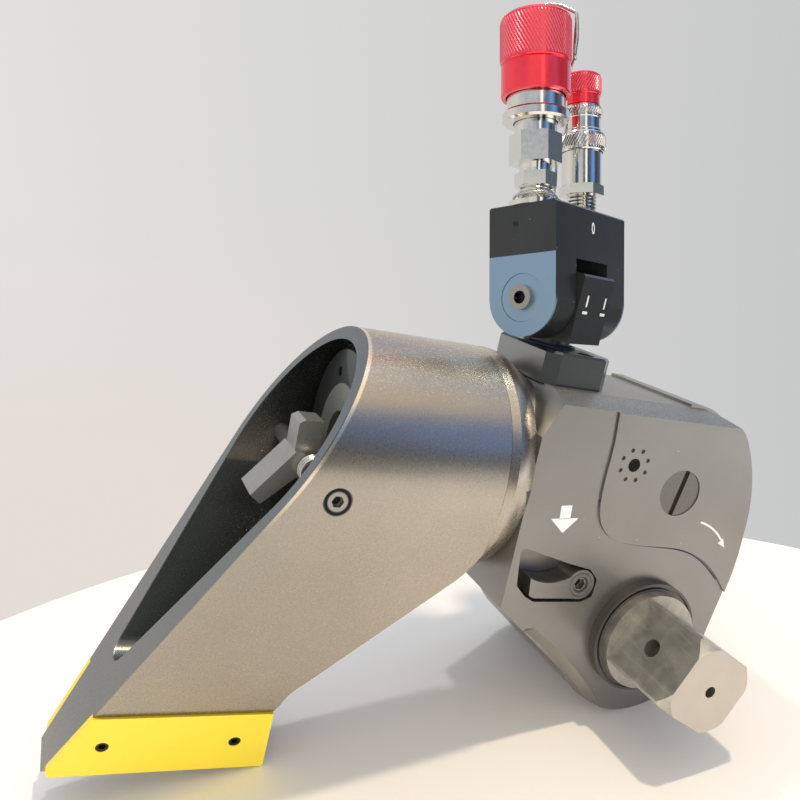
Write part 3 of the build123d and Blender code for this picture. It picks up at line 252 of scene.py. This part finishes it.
def arm_alloy():
    """Blasted reaction arm: pale bronze grey with a sandy sparkle, a painted highlight on its upward
    faces and along its rim, painted reflection on its cut rim, and painted shade toward its foot and
    inside its hollow.
    """
    paint = Finish("arm_alloy", Metallic=0.95)
    cloud = paint.noise(0.025, 3)
    grain = paint.noise(1.5, 3, rough=0.8)
    spark = grain.over(0.6, 0.1)
    top = paint.facing()[2].over(0.78, 0.35)
    base = paint.mix(
        (cloud * 0.75 + grain * 0.25).clamp(), (0.36, 0.325, 0.28), (0.56, 0.51, 0.44)
    )
    # Lighter specks of the blasted grain; on upward faces they are stronger and a warm tone is laid
    # over them as painted highlight.
    base = paint.mix(spark * (0.15 + top * 0.3), base, (0.84, 0.77, 0.66))
    base = paint.mix(top * (0.2 + spark * 0.8), base, (1.0, 0.86, 0.64))
    # Painted shade: the arm is painted darker toward its foot end.
    base = paint.mix(paint.x.under(-112, 60) * 0.35, base, (0.22, 0.21, 0.19))

    # Below the axis of its bore the arm's flanks draw in and its open end slopes back.
    axis_z = 48.7
    bore_radius = 33.7
    below_axis = axis_z - paint.z
    half_width = (37.6 - below_axis * 0.247) / 0.969
    inside = (half_width - paint.y.math("ABSOLUTE")).over(2.2, 0.2) * paint.z.under(48.9, 0.2)
    above_floor = (paint.z - 33.7 - (paint.x + 68) * 1.0867).over(-0.9, 0.3)
    past_rim = paint.x + 130.35 + below_axis * 0.518
    off_rim = past_rim.over(0.3, 0.1)
    # Painted highlight: a warm bright band along the upper part of the rim's edge.
    painted_rim_highlight = past_rim.under(1.5, 0.4) * paint.z.over(40, 20)
    base = paint.mix(painted_rim_highlight * 0.8, base, (1.0, 0.88, 0.68))
    # The cut rim is a plainer face, darker than the blasted arm; its warmer grey low down and
    # blue-grey high up are painted reflection.
    rim_tone_and_reflection = paint.mix(paint.z.over(10, 60), (0.26, 0.255, 0.235), (0.19, 0.21, 0.225))
    base = paint.mix(1 - off_rim, base, rim_tone_and_reflection)
    # Painted shade: the bore and the hollow inside the arm are painted dark, with a lighter warm tone
    # low in the bore as painted light.
    bore = paint.round_about((0, 0, axis_z), (1, 0, 0)).under(bore_radius, 0.2)
    painted_shade_hollow = (bore + inside * above_floor).clamp() * off_rim
    shade = paint.mix(bore * paint.z.under(38, 22), (0.12, 0.13, 0.125), (0.36, 0.32, 0.26))
    paint.feed("Base Color", paint.mix(painted_shade_hollow, base, shade))
    paint.feed("Roughness", 0.21 + grain * 0.14)
    paint.bump(grain * off_rim * (0.4 + top * 1.6), 0.04, 0.45)
    return paint.material


def drive_steel():
    """Square drive: phosphated flanks with a mottled tone and rubbed streaks, ground end face."""
    paint = Finish("drive_steel", Metallic=0.95)
    mottle = paint.noise(0.2, 4).over(0.5, 0.55)
    grain = paint.noise(1.3, 4)
    rub = paint.noise(0.5, 2, (1, 0.12, 1)).over(0.62, 0.1)
    end = paint.y.under(-70.8, 0.1)
    base = paint.mix(
        (mottle * 0.7 + grain * 0.3).clamp(), (0.34, 0.34, 0.305), (0.68, 0.665, 0.6)
    )
    base = paint.mix(rub * 0.3, base, (0.75, 0.71, 0.62))
    paint.feed("Base Color", paint.mix(end, base, (0.62, 0.575, 0.51)))
    paint.feed("Roughness", 0.3 + mottle * 0.12 + grain * 0.1)
    paint.bump(grain, 0.03, 0.3)
    return paint.material


def black_alloy():
    """Black anodised swivel block, with a milled cheek on each of its ends whose blue-grey tone is
    painted reflection.
    """
    paint = Finish("black_alloy", Coat_Weight=0.25, Coat_Roughness=0.12)
    grain = paint.noise(1.5, 4)
    smear = paint.noise(0.09, 3)
    away = paint.away_from(pin_point)
    on_end = paint.part_along(away, pin_dir).math("ABSOLUTE").over(22.3, 0.1)
    below_line = paint.part_along(away, block_up).under(13.8, 0.15)
    off_edges = paint.part_along(away, block_out).math("ABSOLUTE").under(12.55, 0.1)
    cheek = on_end * below_line * off_edges
    dust = paint.specks(0.22).under(0.045, 0.03) * (1 - cheek)
    base = paint.mix(
        (smear * 0.6 + grain * 0.4).clamp(), (0.012, 0.014, 0.015), (0.03, 0.034, 0.037)
    )
    base = paint.mix(dust * 0.6, base, (0.5, 0.5, 0.48))
    # Painted reflection: the milled cheeks are painted a blue-grey tone.
    paint.feed("Base Color", paint.mix(cheek, base, (0.27, 0.4, 0.54)))
    paint.feed("Metallic", 0.25 + cheek * 0.65)
    paint.feed("Roughness", 0.26 + grain * 0.1 + cheek * 0.12)
    paint.bump(grain, 0.015, 0.25)
    return paint.material


def pin_finish():
    """Pin ends: a blue-grey disc with a bright socket screw in its middle, its socket painted near
    black as shade.
    """
    paint = Finish("pin_finish", Metallic=0.9)
    screw_radius, socket_radius = 4.05, 2.1
    away = paint.round_about(pin_point, pin_dir)
    grain = paint.noise(1.5, 4)
    socket = away.under(socket_radius, 0.1)
    blue = paint.mix(grain, (0.25, 0.38, 0.51), (0.29, 0.42, 0.57))
    # Painted shade: the screw's socket is painted near black.
    steel = paint.mix(socket, (0.36, 0.35, 0.33), (0.015, 0.015, 0.015))
    paint.feed("Base Color", paint.mix(away.under(screw_radius, 0.1), blue, steel))
    paint.feed("Roughness", 0.32 + grain * 0.1)
    paint.bump(grain, 0.01, 0.2)
    return paint.material


def swivel_foot():
    """Black anodised foot of the swivel with a paler machined end."""
    paint = Finish("swivel_foot", Coat_Weight=0.4)
    grain = paint.noise(1.4, 4)
    end = paint.facing()[0].under(-0.85, 0.1)
    black = paint.mix(grain, (0.016, 0.02, 0.022), (0.035, 0.042, 0.046))
    paint.feed("Base Color", paint.mix(end, black, (0.3, 0.3, 0.295)))
    paint.feed("Metallic", 0.4 + end * 0.4)
    paint.feed("Roughness", 0.24 + grain * 0.12)
    paint.bump(grain, 0.012, 0.25)
    return paint.material


def screw_face(name, centre, socket, ring, outer):
    """Socket screw head seen from the front: painted shade in the dark socket, a painted highlight as
    the bright ring, and a dark rim.
    """
    paint = Finish(name, Metallic=0.85)
    away = paint.round_about(centre, (0, 1, 0))
    grain = paint.noise(1.6, 4)
    # Painted shade and highlight: the socket is painted near black and a bright ring round it is
    # painted on the head.
    bright = away.over(socket, 0.3) * away.under(ring, 0.5)
    steel = paint.mix(grain, (0.34, 0.33, 0.31), (0.5, 0.48, 0.45))
    base = paint.mix(bright, (0.02, 0.02, 0.02), steel)
    paint.feed("Base Color", paint.mix(away.over(outer, 0.2), base, (0.16, 0.155, 0.15)))
    paint.feed("Roughness", 0.26 + grain * 0.14)
    paint.bump(grain, 0.01, 0.25)
    return paint.material


def plain(name, dark, light, metallic, rough, grain_scale=1.2, coat=0.0, depth=0.03):
    """A finish with grain, cloudy tone and uneven polish."""
    paint = Finish(name, Metallic=metallic, Coat_Weight=coat)
    cloud = paint.noise(0.12, 3)
    grain = paint.noise(grain_scale, 4)
    paint.feed("Base Color", paint.mix((cloud * 0.5 + grain * 0.5).clamp(), dark, light))
    paint.feed("Roughness", (rough - 0.08) + grain * 0.16)
    paint.bump(grain, depth, 0.3)
    return paint.material


finish_of = {
    "head_alloy": head_alloy(),
    "arm_alloy": arm_alloy(),
    "drive_steel": drive_steel(),
    "black_alloy": black_alloy(),
    "pin_finish": pin_finish(),
    "swivel_foot": swivel_foot(),
    "latch_screw": screw_face("latch_screw", (-120.3, 0, 41.3), 1.5, 3.0, 4.1),
    "lever_face": screw_face("lever_face", (lever_x, 0, lever_z), 1.7, 2.35, 2.6),
}
# Each with its dark and light tone, how metallic and how rough it is, and what else sets it apart
for name, dark, light, metallic, rough, apart in (
    (
        "knurled_red", (0.62, 0.05, 0.085), (0.95, 0.2, 0.27), 0.45, 0.3,
        {"grain_scale": 2.2, "coat": 0.4, "depth": 0.01},
    ),
    ("satin_steel", (0.26, 0.265, 0.26), (0.4, 0.4, 0.38), 0.65, 0.3, {}),
    ("plug_steel", (0.13, 0.128, 0.12), (0.22, 0.215, 0.2), 0.85, 0.3, {}),
    ("dark_steel", (0.1, 0.1, 0.095), (0.2, 0.195, 0.18), 0.9, 0.38, {}),
    ("bright_steel", (0.5, 0.49, 0.46), (0.7, 0.68, 0.64), 1.0, 0.26, {}),
    (
        "nickel", (0.72, 0.71, 0.66), (0.88, 0.86, 0.8), 1.0, 0.13,
        {"grain_scale": 0.8, "depth": 0.008},
    ),
    (
        "yellow", (0.86, 0.67, 0.038), (0.92, 0.73, 0.048), 0.0, 0.4,
        {"grain_scale": 1.4, "coat": 0.2},
    ),
    (
        "red", (0.92, 0.03, 0.055), (1.0, 0.06, 0.09), 0.65, 0.18,
        {"grain_scale": 1.0, "coat": 0.5, "depth": 0.005},
    ),
    ("black_part", (0.014, 0.016, 0.017), (0.035, 0.038, 0.04), 0.4, 0.34, {"coat": 0.3}),
    ("black_screw", (0.012, 0.012, 0.013), (0.035, 0.034, 0.033), 0.6, 0.34, {}),
    ("rubber", (0.02, 0.03, 0.07), (0.04, 0.06, 0.13), 0.0, 0.35, {}),
    # Dark blue of the painted shadow line along the front face's step
    ("step_shadow_blue", (0.03, 0.045, 0.09), (0.06, 0.085, 0.16), 0.6, 0.3, {}),
    ("bronze", (0.3, 0.2, 0.09), (0.5, 0.36, 0.18), 1.0, 0.35, {}),
    ("white_print", (0.86, 0.86, 0.85), (0.93, 0.93, 0.92), 0.0, 0.5, {"grain_scale": 2.0}),
):
    finish_of[name] = plain(name, dark, light, metallic, rough, **apart)

wears = {
    "head_alloy": ["housing", "shroud", "release_lever"],
    "arm_alloy": ["reaction_arm", "collar"],
    "drive_steel": ["square_drive"],
    "satin_steel": ["latch_lever", "catch_plate"],
    "plug_steel": ["access_plug"],
    "dark_steel": [
        "ratchet_wheel", "crank_plate_front", "crank_plate_rear", "drive_pawl", "reaction_pawl",
        "drive_bushing_front",
    ],
    "bright_steel": [
        "retainer_button", "crank_pin", "pawl_pin", "piston", "piston_rod",
        "latch_spring", "lever_shaft", "post_clip", "swivel_pin", "cap_wire",
    ],
    "nickel": [
        "advance_adapter", "advance_coupler", "advance_sleeve",
        "retract_adapter", "retract_coupler", "retract_sleeve",
    ],
    "yellow": ["foot_plate_front", "foot_plate_rear"],
    "red": ["advance_cap", "retract_cap"],
    "swivel_foot": ["swivel_base"],
    "black_alloy": ["swivel_block"],
    "black_part": ["retainer_cap", "end_cap", "swivel_post", "vent_plug"],
    "pin_finish": ["pin_screws"],
    "black_screw": ["foot_screws", "shroud_screws", "base_screws"],
    "latch_screw": ["latch_pin"],
    "lever_face": ["lever_screw"],
    "rubber": ["piston_seal", "rod_seal", "swivel_seal"],
    "bronze": ["drive_bushing_rear", "rod_gland"],
}
for finish, nodes in wears.items():
    for node in nodes:
        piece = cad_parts[node]
        piece.data.materials.clear()
        piece.data.materials.append(finish_of[finish])


# Pieces that the finished tool carries besides its machined parts
slot_of = {
    "bright_steel": "bright_steel",
    "nickel": "plated",
    "knurled_red": "red_anodised",
    "black_screw": "black_screw",
}


def choose(kind, test):
    """Select what passes a test in the open mesh."""
    bpy.ops.mesh.select_mode(type=kind)
    bpy.ops.mesh.select_all(action="DESELECT")
    shape = bmesh.from_edit_mesh(bpy.context.edit_object.data)
    for item in {"VERT": shape.verts, "EDGE": shape.edges, "FACE": shape.faces}[kind]:
        if test(item):
            item.select_set(True)
    shape.select_flush_mode()
    bmesh.update_edit_mesh(bpy.context.edit_object.data)


def open_mesh():
    bpy.ops.object.mode_set(mode="EDIT")


def resize_about(centre, x, y):
    """Stretch what is selected along X and Y about a point."""
    bpy.ops.transform.resize(value=(x, y, 1), center_override=centre)


def raise_faces(height):
    """Push the selected faces out along Z, with walls behind them."""
    bpy.ops.mesh.extrude_region_move(TRANSFORM_OT_translate={"value": (0, 0, height)})


def turn_outward():
    """Let every face of the open mesh look outward."""
    bpy.ops.mesh.select_all(action="SELECT")
    bpy.ops.mesh.normals_make_consistent(inside=False)


def fit(name, body, finish, place=Matrix.Identity(4), smooth=None):
    """Put the modelled piece in its place on the tool and let it ride on its body."""
    bpy.ops.object.mode_set(mode="OBJECT")
    piece = bpy.context.object
    piece.name = name
    piece.data.name = name
    piece.matrix_world = tool_to_stand @ place @ piece.matrix_world
    bpy.ops.object.transform_apply(location=True, rotation=True, scale=True)
    if smooth:
        bpy.ops.object.shade_smooth_by_angle(angle=math.radians(smooth))
    piece.data.materials.append(finish_of[finish])
    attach(piece, body)
    finish in slot_of
    piece.select_set(False)


def place_by(origin, x_way, y_way, z_way):
    """Place at an origin on the tool whose X, Y and Z run in three directions."""
    turned = Matrix((x_way, y_way, z_way)).transposed().to_4x4()
    return Matrix.Translation(origin) @ turned


def block_place(origin):
    """Place on the tilting block: X along the pin, Y out of its front, Z up."""
    return place_by(origin, pin_dir, block_out, block_up)


def skin(name, body, foot, radius, low, high, columns, rows, rise, stands, finish):
    """Round band whose chosen points stand out, such as a knurl or the turns of a thread."""
    tuck = 0.5
    height = high - low
    bpy.ops.mesh.primitive_cylinder_add(
        vertices=columns, radius=radius, depth=height, end_fill_type="NOTHING",
        location=(0, 0, (low + high) / 2),
    )
    open_mesh()
    choose("EDGE", lambda edge: abs(edge.verts[0].co.z - edge.verts[1].co.z) > 0.1)
    bpy.ops.mesh.subdivide(number_cuts=rows - 1)

    def stands_out(point):
        column = round(math.atan2(point.co.y, point.co.x) * columns / math.tau)
        row = round((point.co.z + height / 2) / height * rows)
        return 0 < row < rows and stands(column, row)

    choose("VERT", stands_out)
    grow = (radius + rise) / radius
    resize_about((0, 0, 0), grow, grow)
    choose("EDGE", lambda edge: edge.is_boundary)
    bpy.ops.mesh.extrude_edges_move()
    shrink = (radius - tuck) / radius
    resize_about((0, 0, 0), shrink, shrink)
    bpy.ops.mesh.bridge_edge_loops()
    turn_outward()
    fit(name, body, finish, block_place(foot))


def knurl(name, body, foot, radius, low, high, around, finish):
    """Diamond knurl, whose diamonds are 1.7 times as tall as they are wide."""
    sunk, rise = 0.14, 0.45
    width = math.tau * radius / around
    rows = 2 * max(1, round((high - low) / (1.7 * width)))
    skin(
        name, body, foot, radius - sunk, low, high, 2 * around, rows, rise,
        lambda column, row: (column + row) % 2 == 0, finish,
    )


def thread(name, foot, radius, low, high, pitch):
    """Turns of a thread round a fitting's stem."""
    sunk, rise, columns = 0.1, 0.55, 40
    rows = 2 * max(1, round((high - low) / pitch))
    skin(
        name, "block", foot, radius - sunk, low, high, columns, rows, rise,
        lambda column, row: row % 2 == 1, "nickel",
    )


def print_mark(name, body, place):
    """Give the flat shape the thickness of a printed mark and put it in its place."""
    open_mesh()
    bpy.ops.mesh.select_all(action="SELECT")
    raise_faces(0.07)
    turn_outward()
    fit(name, body, "white_print", place)


def face_place(x, y, z, turn=0.0):
    """Place on a front face: X along the tool, Y up the face, Z out of it, just below the surface."""
    sunk = 0.03
    place = place_by((x, y + sunk, z), (1, 0, 0), (0, 0, 1), (0, -1, 0))
    return place @ Matrix.Rotation(math.radians(turn), 4, "Z")


def arrow_head(width, length, where, turn):
    """Three-cornered head whose point looks along its own Y."""
    bpy.ops.mesh.primitive_circle_add(vertices=3, radius=1, fill_type="NGON", location=where)
    head = bpy.context.object
    head.scale = (width / 1.732, length / 1.5, 1)
    head.rotation_euler = (0, 0, turn)
    bpy.ops.object.transform_apply(location=True, rotation=True, scale=True)
    return head


def down_arrow():
    """Wide white arrow that points down the head beside the lever."""
    head = arrow_head(10.2, 5.0, (0, -2.2, 0), math.pi)
    bpy.ops.mesh.primitive_plane_add(size=4.0, location=(0, 1.6, 0))
    open_mesh()
    bpy.ops.transform.resize(value=(1, 1.15, 1))
    bpy.ops.object.mode_set(mode="OBJECT")
    head.select_set(True)
    bpy.ops.object.join()
    print_mark("down_arrow", "body", face_place(-41.9, front_y, 40.6, 5))


def circle_through(start, middle, end):
    """Centre of the circle through three points of a plane."""
    first, second = middle - start, end - middle
    halfway = Vector((first.dot((start + middle) / 2), second.dot((middle + end) / 2)))
    return Matrix((first, second)).inverted() @ halfway


def turning_arrow():
    """Thin curved white arrow that shows which way the drive turns."""
    half_width = 0.35
    start, middle, end = Vector((12.3, 42.5)), Vector((19.5, 40.0)), Vector((24.3, 36.2))
    centre = circle_through(start, middle, end)
    radius = (start - centre).length
    low = math.atan2(end.y - centre.y, end.x - centre.x)
    high = math.atan2(start.y - centre.y, start.x - centre.x)
    bpy.ops.mesh.primitive_circle_add(vertices=180, radius=radius - half_width, location=(0, 0, 0))
    open_mesh()
    choose("VERT", lambda point: not low <= math.atan2(point.co.y, point.co.x) <= high)
    bpy.ops.mesh.delete(type="VERT")
    bpy.ops.mesh.select_all(action="SELECT")
    bpy.ops.mesh.extrude_edges_move()
    grow = (radius + half_width) / (radius - half_width)
    resize_about((0, 0, 0), grow, grow)
    bpy.ops.object.mode_set(mode="OBJECT")
    band = bpy.context.object
    tip = Vector((math.cos(low), math.sin(low), 0)) * radius
    arrow_head(2.6, 3.4, tip + Vector((0.5, -0.9, 0)), low + math.pi + 0.06)
    band.select_set(True)
    bpy.ops.object.join()
    print_mark("turning_arrow", "body", face_place(centre.x, field_y, centre.y))


def port_marks():
    """Bar and dash under each port on the turning post."""
    post_out = up.cross(pin_dir)
    post_face = 13.27
    for number, side in enumerate((-1, 1)):
        for part, height, width, length in (("bar", 2.8, 0.9, 3.8), ("dash", -1.0, 3.2, 0.95)):
            bpy.ops.mesh.primitive_plane_add(size=1)
            open_mesh()
            bpy.ops.transform.resize(value=(width, length, 1))
            bpy.ops.mesh.bevel(offset=0.25, segments=3, affect="VERTICES")
            origin = pin_point + pin_dir * (side * 6.0 - 1.1) + post_out * post_face + up * height
            place = place_by(origin, -pin_dir, up, post_out)
            print_mark("port_%s_%d" % (part, number + 1), "post", place)


def ring_mark():
    """Upright ring printed on the front of the tilting block."""
    block_face = 12.57
    bpy.ops.mesh.primitive_circle_add(vertices=32, radius=1.0, fill_type="NGON")
    open_mesh()
    bpy.ops.transform.resize(value=(0.95, 1.9, 1))
    bpy.ops.mesh.inset(thickness=0.42)
    bpy.ops.mesh.delete(type="FACE")
    origin = pin_point - pin_dir * 0.6 + block_up * 23.9 + block_out * block_face
    print_mark("ring_mark", "block", place_by(origin, -pin_dir, block_up, block_out))


def block_plug():
    """Pressed-in plug on the block's end above the pin."""
    block_end = 23.0
    bpy.ops.mesh.primitive_cylinder_add(vertices=28, radius=0.85, depth=0.9)
    open_mesh()
    choose("FACE", lambda face: face.normal.z > 0.9)
    bpy.ops.mesh.inset(thickness=0.22)
    raise_faces(-0.3)
    bpy.ops.mesh.inset(thickness=0.2)
    raise_faces(0.22)
    origin = pin_point + pin_dir * block_end - block_out * 2.3 + block_up * 23.9
    place = place_by(origin, block_out, pin_dir.cross(block_out), pin_dir)
    fit("block_plug", "block", "black_screw", place, 35)


def wire(points, thickness):
    """Round wire along a smooth path of points, made a mesh."""
    bpy.ops.curve.primitive_nurbs_path_add(radius=1)
    path = bpy.context.object.data
    path.splines.clear()
    line = path.splines.new("NURBS")
    line.points.add(len(points) - 1)
    for spot, point in zip(line.points, points):
        spot.co = (*point, 1)
    line.order_u = 3
    line.use_endpoint_u = True
    path.bevel_depth = thickness / 2
    path.bevel_resolution = 4
    path.resolution_u = 8
    path.use_fill_caps = True
    bpy.ops.object.convert(target="MESH")


def step_shadow_line():
    """Painted shadow: a dark blue line laid along the edge of the front face's step, where its shade
    falls.
    """
    edge = (
        (-30.5, 47.5), (-28.7, 40.2), (-23.4, 34.8), (-15.4, 32.6), (-4.0, 32.2),
        (6.0, 31.9), (14.3, 30.1), (21.7, 26.1), (27.5, 21.3),
    )
    wire([(x, front_y, z) for x, z in edge], 0.55)
    fit("step_shadow_line", "body", "step_shadow_blue", smooth=60)


def lever_boss():
    """Turned boss ring round the release lever's screw."""
    centre = (lever_x, -34.2, lever_z)
    bpy.ops.mesh.primitive_torus_add(
        major_radius=4.15, minor_radius=0.3, major_segments=40, minor_segments=10,
        location=centre, rotation=(math.radians(90), 0, 0),
    )
    open_mesh()
    resize_about(centre, 1, 0.8)
    fit("lever_boss", "release", "plug_steel", smooth=50)


def tether():
    """Steel cord that keeps the red cap: a ring round the stem, a cord, its sleeve and a loop."""
    place = block_place(block_top)
    steel = "bright_steel"
    cord_thick, loop_thick = 0.85, 1.15

    ring_centre = (fitting_reach, 0, 2.7)
    bpy.ops.mesh.primitive_torus_add(
        major_radius=6.9, minor_radius=0.45, major_segments=48, minor_segments=12,
        location=ring_centre, rotation=(math.radians(4), math.radians(-7), 0),
    )
    open_mesh()
    resize_about(ring_centre, 1.08, 1)
    fit("tether_ring", "block", steel, place, 40)

    wire(
        [
            (7.9, 0.5, 2.6), (5.4, 0.6, 4.2), (4.1, 0.8, 8), (3.8, 1.0, 11.5), (3.9, 1.0, 15.9),
            (2.9, 1.2, 20.4), (0.8, 1.5, 24.2), (-1.6, 1.6, 27.4), (-1.5, 2.0, 30.8),
            (0.8, 3.0, 34), (3.2, 4.4, 36.8), (4.4, 5.4, 39.4), (4.7, 6.0, 42.6),
            (5.2, 7.1, 45.6), (6.6, 8.8, 47.6), (8.4, 10.6, 48.5),
        ],
        cord_thick,
    )
    fit("tether_cord", "block", steel, place, 40)

    # The loop lies close round the cap: angle about the fitting, distance from its axis, height.
    loop = []
    for angle, radius, height in (
        (119, 12.6, 50.2), (119.5, 12.6, 49.2), (122, 12.6, 48.2), (126, 12.65, 47.9),
        (130, 12.7, 48.6), (131.5, 12.8, 50.5), (131, 12.9, 54.5), (128, 13.1, 58),
        (123, 13.2, 60), (119.5, 13.2, 60.8),
    ):
        turn = math.radians(angle)
        across = fitting_reach + radius * math.cos(turn)
        loop.append((across, radius * math.sin(turn), height))
    wire(loop, loop_thick)
    fit("bail_loop", "advance_dust_cap", steel, place, 40)

    bpy.ops.mesh.primitive_cylinder_add(vertices=20, radius=0.95, depth=3.4)
    open_mesh()
    choose("FACE", lambda face: abs(face.normal.z) > 0.9)
    bpy.ops.mesh.inset(thickness=0.25)
    bpy.ops.transform.resize(value=(1, 1, 1.12))
    sleeve = Matrix.Translation((1.9, 1.35, 22.3)) @ Matrix.Rotation(math.radians(-32), 4, "Y")
    fit("tether_sleeve", "block", steel, place @ sleeve, 40)


# Each with its radius, its lower and upper edge above the block, and its diamonds around
for name, body, foot, radius, low, high, around, finish in (
    ("advance_cap_grip", "advance_dust_cap", advance_foot, 11.4, 46.6, 60.6, 64, "knurled_red"),
    ("retract_cap_grip", "retract_dust_cap", retract_foot, 6.6, 43.8, 50.3, 44, "knurled_red"),
    ("retract_ring_grip", "retract_ring", retract_foot, 8.2, 24.1, 29.5, 52, "nickel"),
    ("retract_neck_grip", "block", retract_foot, 6.9, 35.6, 39.3, 44, "nickel"),
):
    knurl(name, body, foot, radius, low, high, around, finish)
thread("advance_stem_thread", advance_foot, 5.4, 1.7, 6.4, 1.2)
thread("retract_stem_thread", retract_foot, 5.0, 1.0, 8.4, 1.2)
step_shadow_line()
lever_boss()
down_arrow()
turning_arrow()
port_marks()
ring_mark()
block_plug()
tether()


# Studio
def table():
    """Round white table."""
    radius, thickness = 0.2895, 0.02
    bpy.ops.mesh.primitive_cylinder_add(
        vertices=180, radius=radius, depth=thickness, location=(-0.0139, -0.1153, -thickness / 2)
    )
    open_mesh()
    bpy.ops.mesh.select_all(action="SELECT")
    bpy.ops.mesh.bevel(offset=0.002, segments=3)
    bpy.ops.object.mode_set(mode="OBJECT")
    top = bpy.context.object
    top.name = "table"
    paint = Finish("table_white", Roughness=0.55)
    white = paint.mix(paint.noise(0.004, 2), (0.9, 0.885, 0.86), (0.86, 0.85, 0.83))
    paint.feed("Base Color", white)
    top.data.materials.append(paint.material)


def lamps():
    """Two small hard lamps overhead and a broad soft one in front, which leaves no reflection."""
    aim = Vector((0, 0, 0.05))
    for name, where, size, power, colour in (
        ("key", Vector((0.20, -0.09, 1.08)), 0.05, 5.6, (1, 0.82, 0.6)),
        ("rear", Vector((0.03, 0.42, 1.0)), 0.06, 2.0, (1, 0.95, 0.88)),
        ("front", Vector((-0.35, -1.0, 0.16)), 0.5, 6.0, (1, 0.95, 0.87)),
    ):
        lamp = bpy.data.lights.new(name, "AREA")
        lamp.energy = power
        lamp.size = size
        lamp.color = colour
        holder = bpy.data.objects.new(name, lamp)
        bpy.context.scene.collection.objects.link(holder)
        holder.location = where
        holder.rotation_euler = (aim - where).to_track_quat("-Z", "Y").to_euler()
        holder.visible_glossy = name != "front"


def room():
    """Pale wall for the eye; for reflections a dim room with bright ceiling, windows and floor."""
    world = bpy.data.worlds.new("room")
    world.use_nodes = True
    sky = Wiring(world.node_tree)
    seat = sky.tree.nodes.new("ShaderNodeTexCoord")
    toward = Amount(sky, seat.outputs["Generated"])
    x, y, z = sky.split(toward)

    # From straight down to straight up
    light = sky.ramp(z * 0.5 + 0.5, (
        (0.0, (0.42, 0.40, 0.38)), (0.46, (0.38, 0.37, 0.36)), (0.51, (0.12, 0.135, 0.16)),
        (0.66, (0.10, 0.14, 0.21)), (0.76, (0.28, 0.38, 0.6)), (0.86, (0.56, 0.6, 0.7)),
        (0.95, (0.84, 0.9, 0.98)), (1.0, (0.84, 0.9, 0.98)),
    ))

    # Where each patch of the room lies, and its light; later ones cover earlier ones.
    ahead = y.under(-0.3, 0.4)
    low = z.under(0.5, 0.4)
    dark_wall = ahead * z.over(-0.3, 0.12) * z.under(0.5, 0.16)
    window = x.over(0.42, 0.3) * x.under(0.75, 0.2) * z.over(0.1, 0.2) * z.under(0.56, 0.14)
    warm_ceiling = ahead * z.over(0.6, 0.16)
    strip = x.over(-0.12, 0.05) * x.under(0.06, 0.05) * z.over(-0.1, 0.1) * z.under(0.6, 0.1)
    side = x.under(-0.34, 0.08) * x.over(-0.8, 0.1) * z.over(0.0, 0.1) * z.under(0.5, 0.1)
    dark_floor = x.over(0.8, 0.15) * z.under(-0.1, 0.2) * y.under(0.3, 0.3)
    bright_floor = ahead * z.under(-0.14, 0.15) * x.over(0.46, 0.3)
    behind = y.over(0.4, 0.5) * low
    left = x.under(-0.7, 0.3) * low
    blue_right = x.over(0.75, 0.25) * low * z.over(-0.1, 0.1) * y.over(0.2, 0.2)
    for where, colour in (
        (dark_wall, (0.03, 0.038, 0.05)),
        (ahead * window, (0.2, 0.36, 0.78)),
        (warm_ceiling, (1.2, 1.0, 0.76)),
        (ahead * strip, (1.3, 1.28, 1.2)),
        (ahead * side, (0.85, 0.84, 0.78)),
        (dark_floor, (0.13, 0.14, 0.15)),
        (bright_floor, (1.8, 1.76, 1.7)),
        (behind, (0.68, 0.68, 0.68)),
        (left, (0.78, 0.76, 0.72)),
        (blue_right, (0.5, 0.65, 0.9)),
    ):
        light = sky.mix(where.clamp(), light, colour)

    # The wall seen past the tool darkens toward the right of the picture.
    right = sky.part_along(toward, (0.936, -0.352, 0))
    wall = sky.mix((right * 1.25 + 0.5).clamp(), (0.76, 0.75, 0.74), (0.58, 0.59, 0.585))
    low_left = z.under(-0.2, 0.3) * right.under(-0.1, 0.4)
    wall = sky.mix(low_left.clamp(), wall, (0.79, 0.72, 0.67))
    path = sky.tree.nodes.new("ShaderNodeLightPath")
    seen = sky.mix(Amount(sky, path.outputs["Is Camera Ray"]), light, wall)
    sky.tree.links.new(seen.socket, sky.tree.nodes["Background"].inputs["Color"])
    bpy.context.scene.world = world


def camera():
    """Camera at the place from which the tool is seen."""
    sensor = 36
    lens_to_picture = 849.15 / 800
    data = bpy.data.cameras.new("camera")
    data.sensor_width = sensor
    data.lens = lens_to_picture * sensor
    holder = bpy.data.objects.new("camera", data)
    holder.location = (-0.088289, -0.236709, 0.1955)
    holder.rotation_euler = (
        math.radians(73.4363), math.radians(2.1148), math.radians(-20.6037)
    )
    bpy.context.scene.collection.objects.link(holder)
    bpy.context.scene.camera = holder


table()
lamps()
room()
camera()
bpy.context.scene.view_settings.view_transform = "Standard"
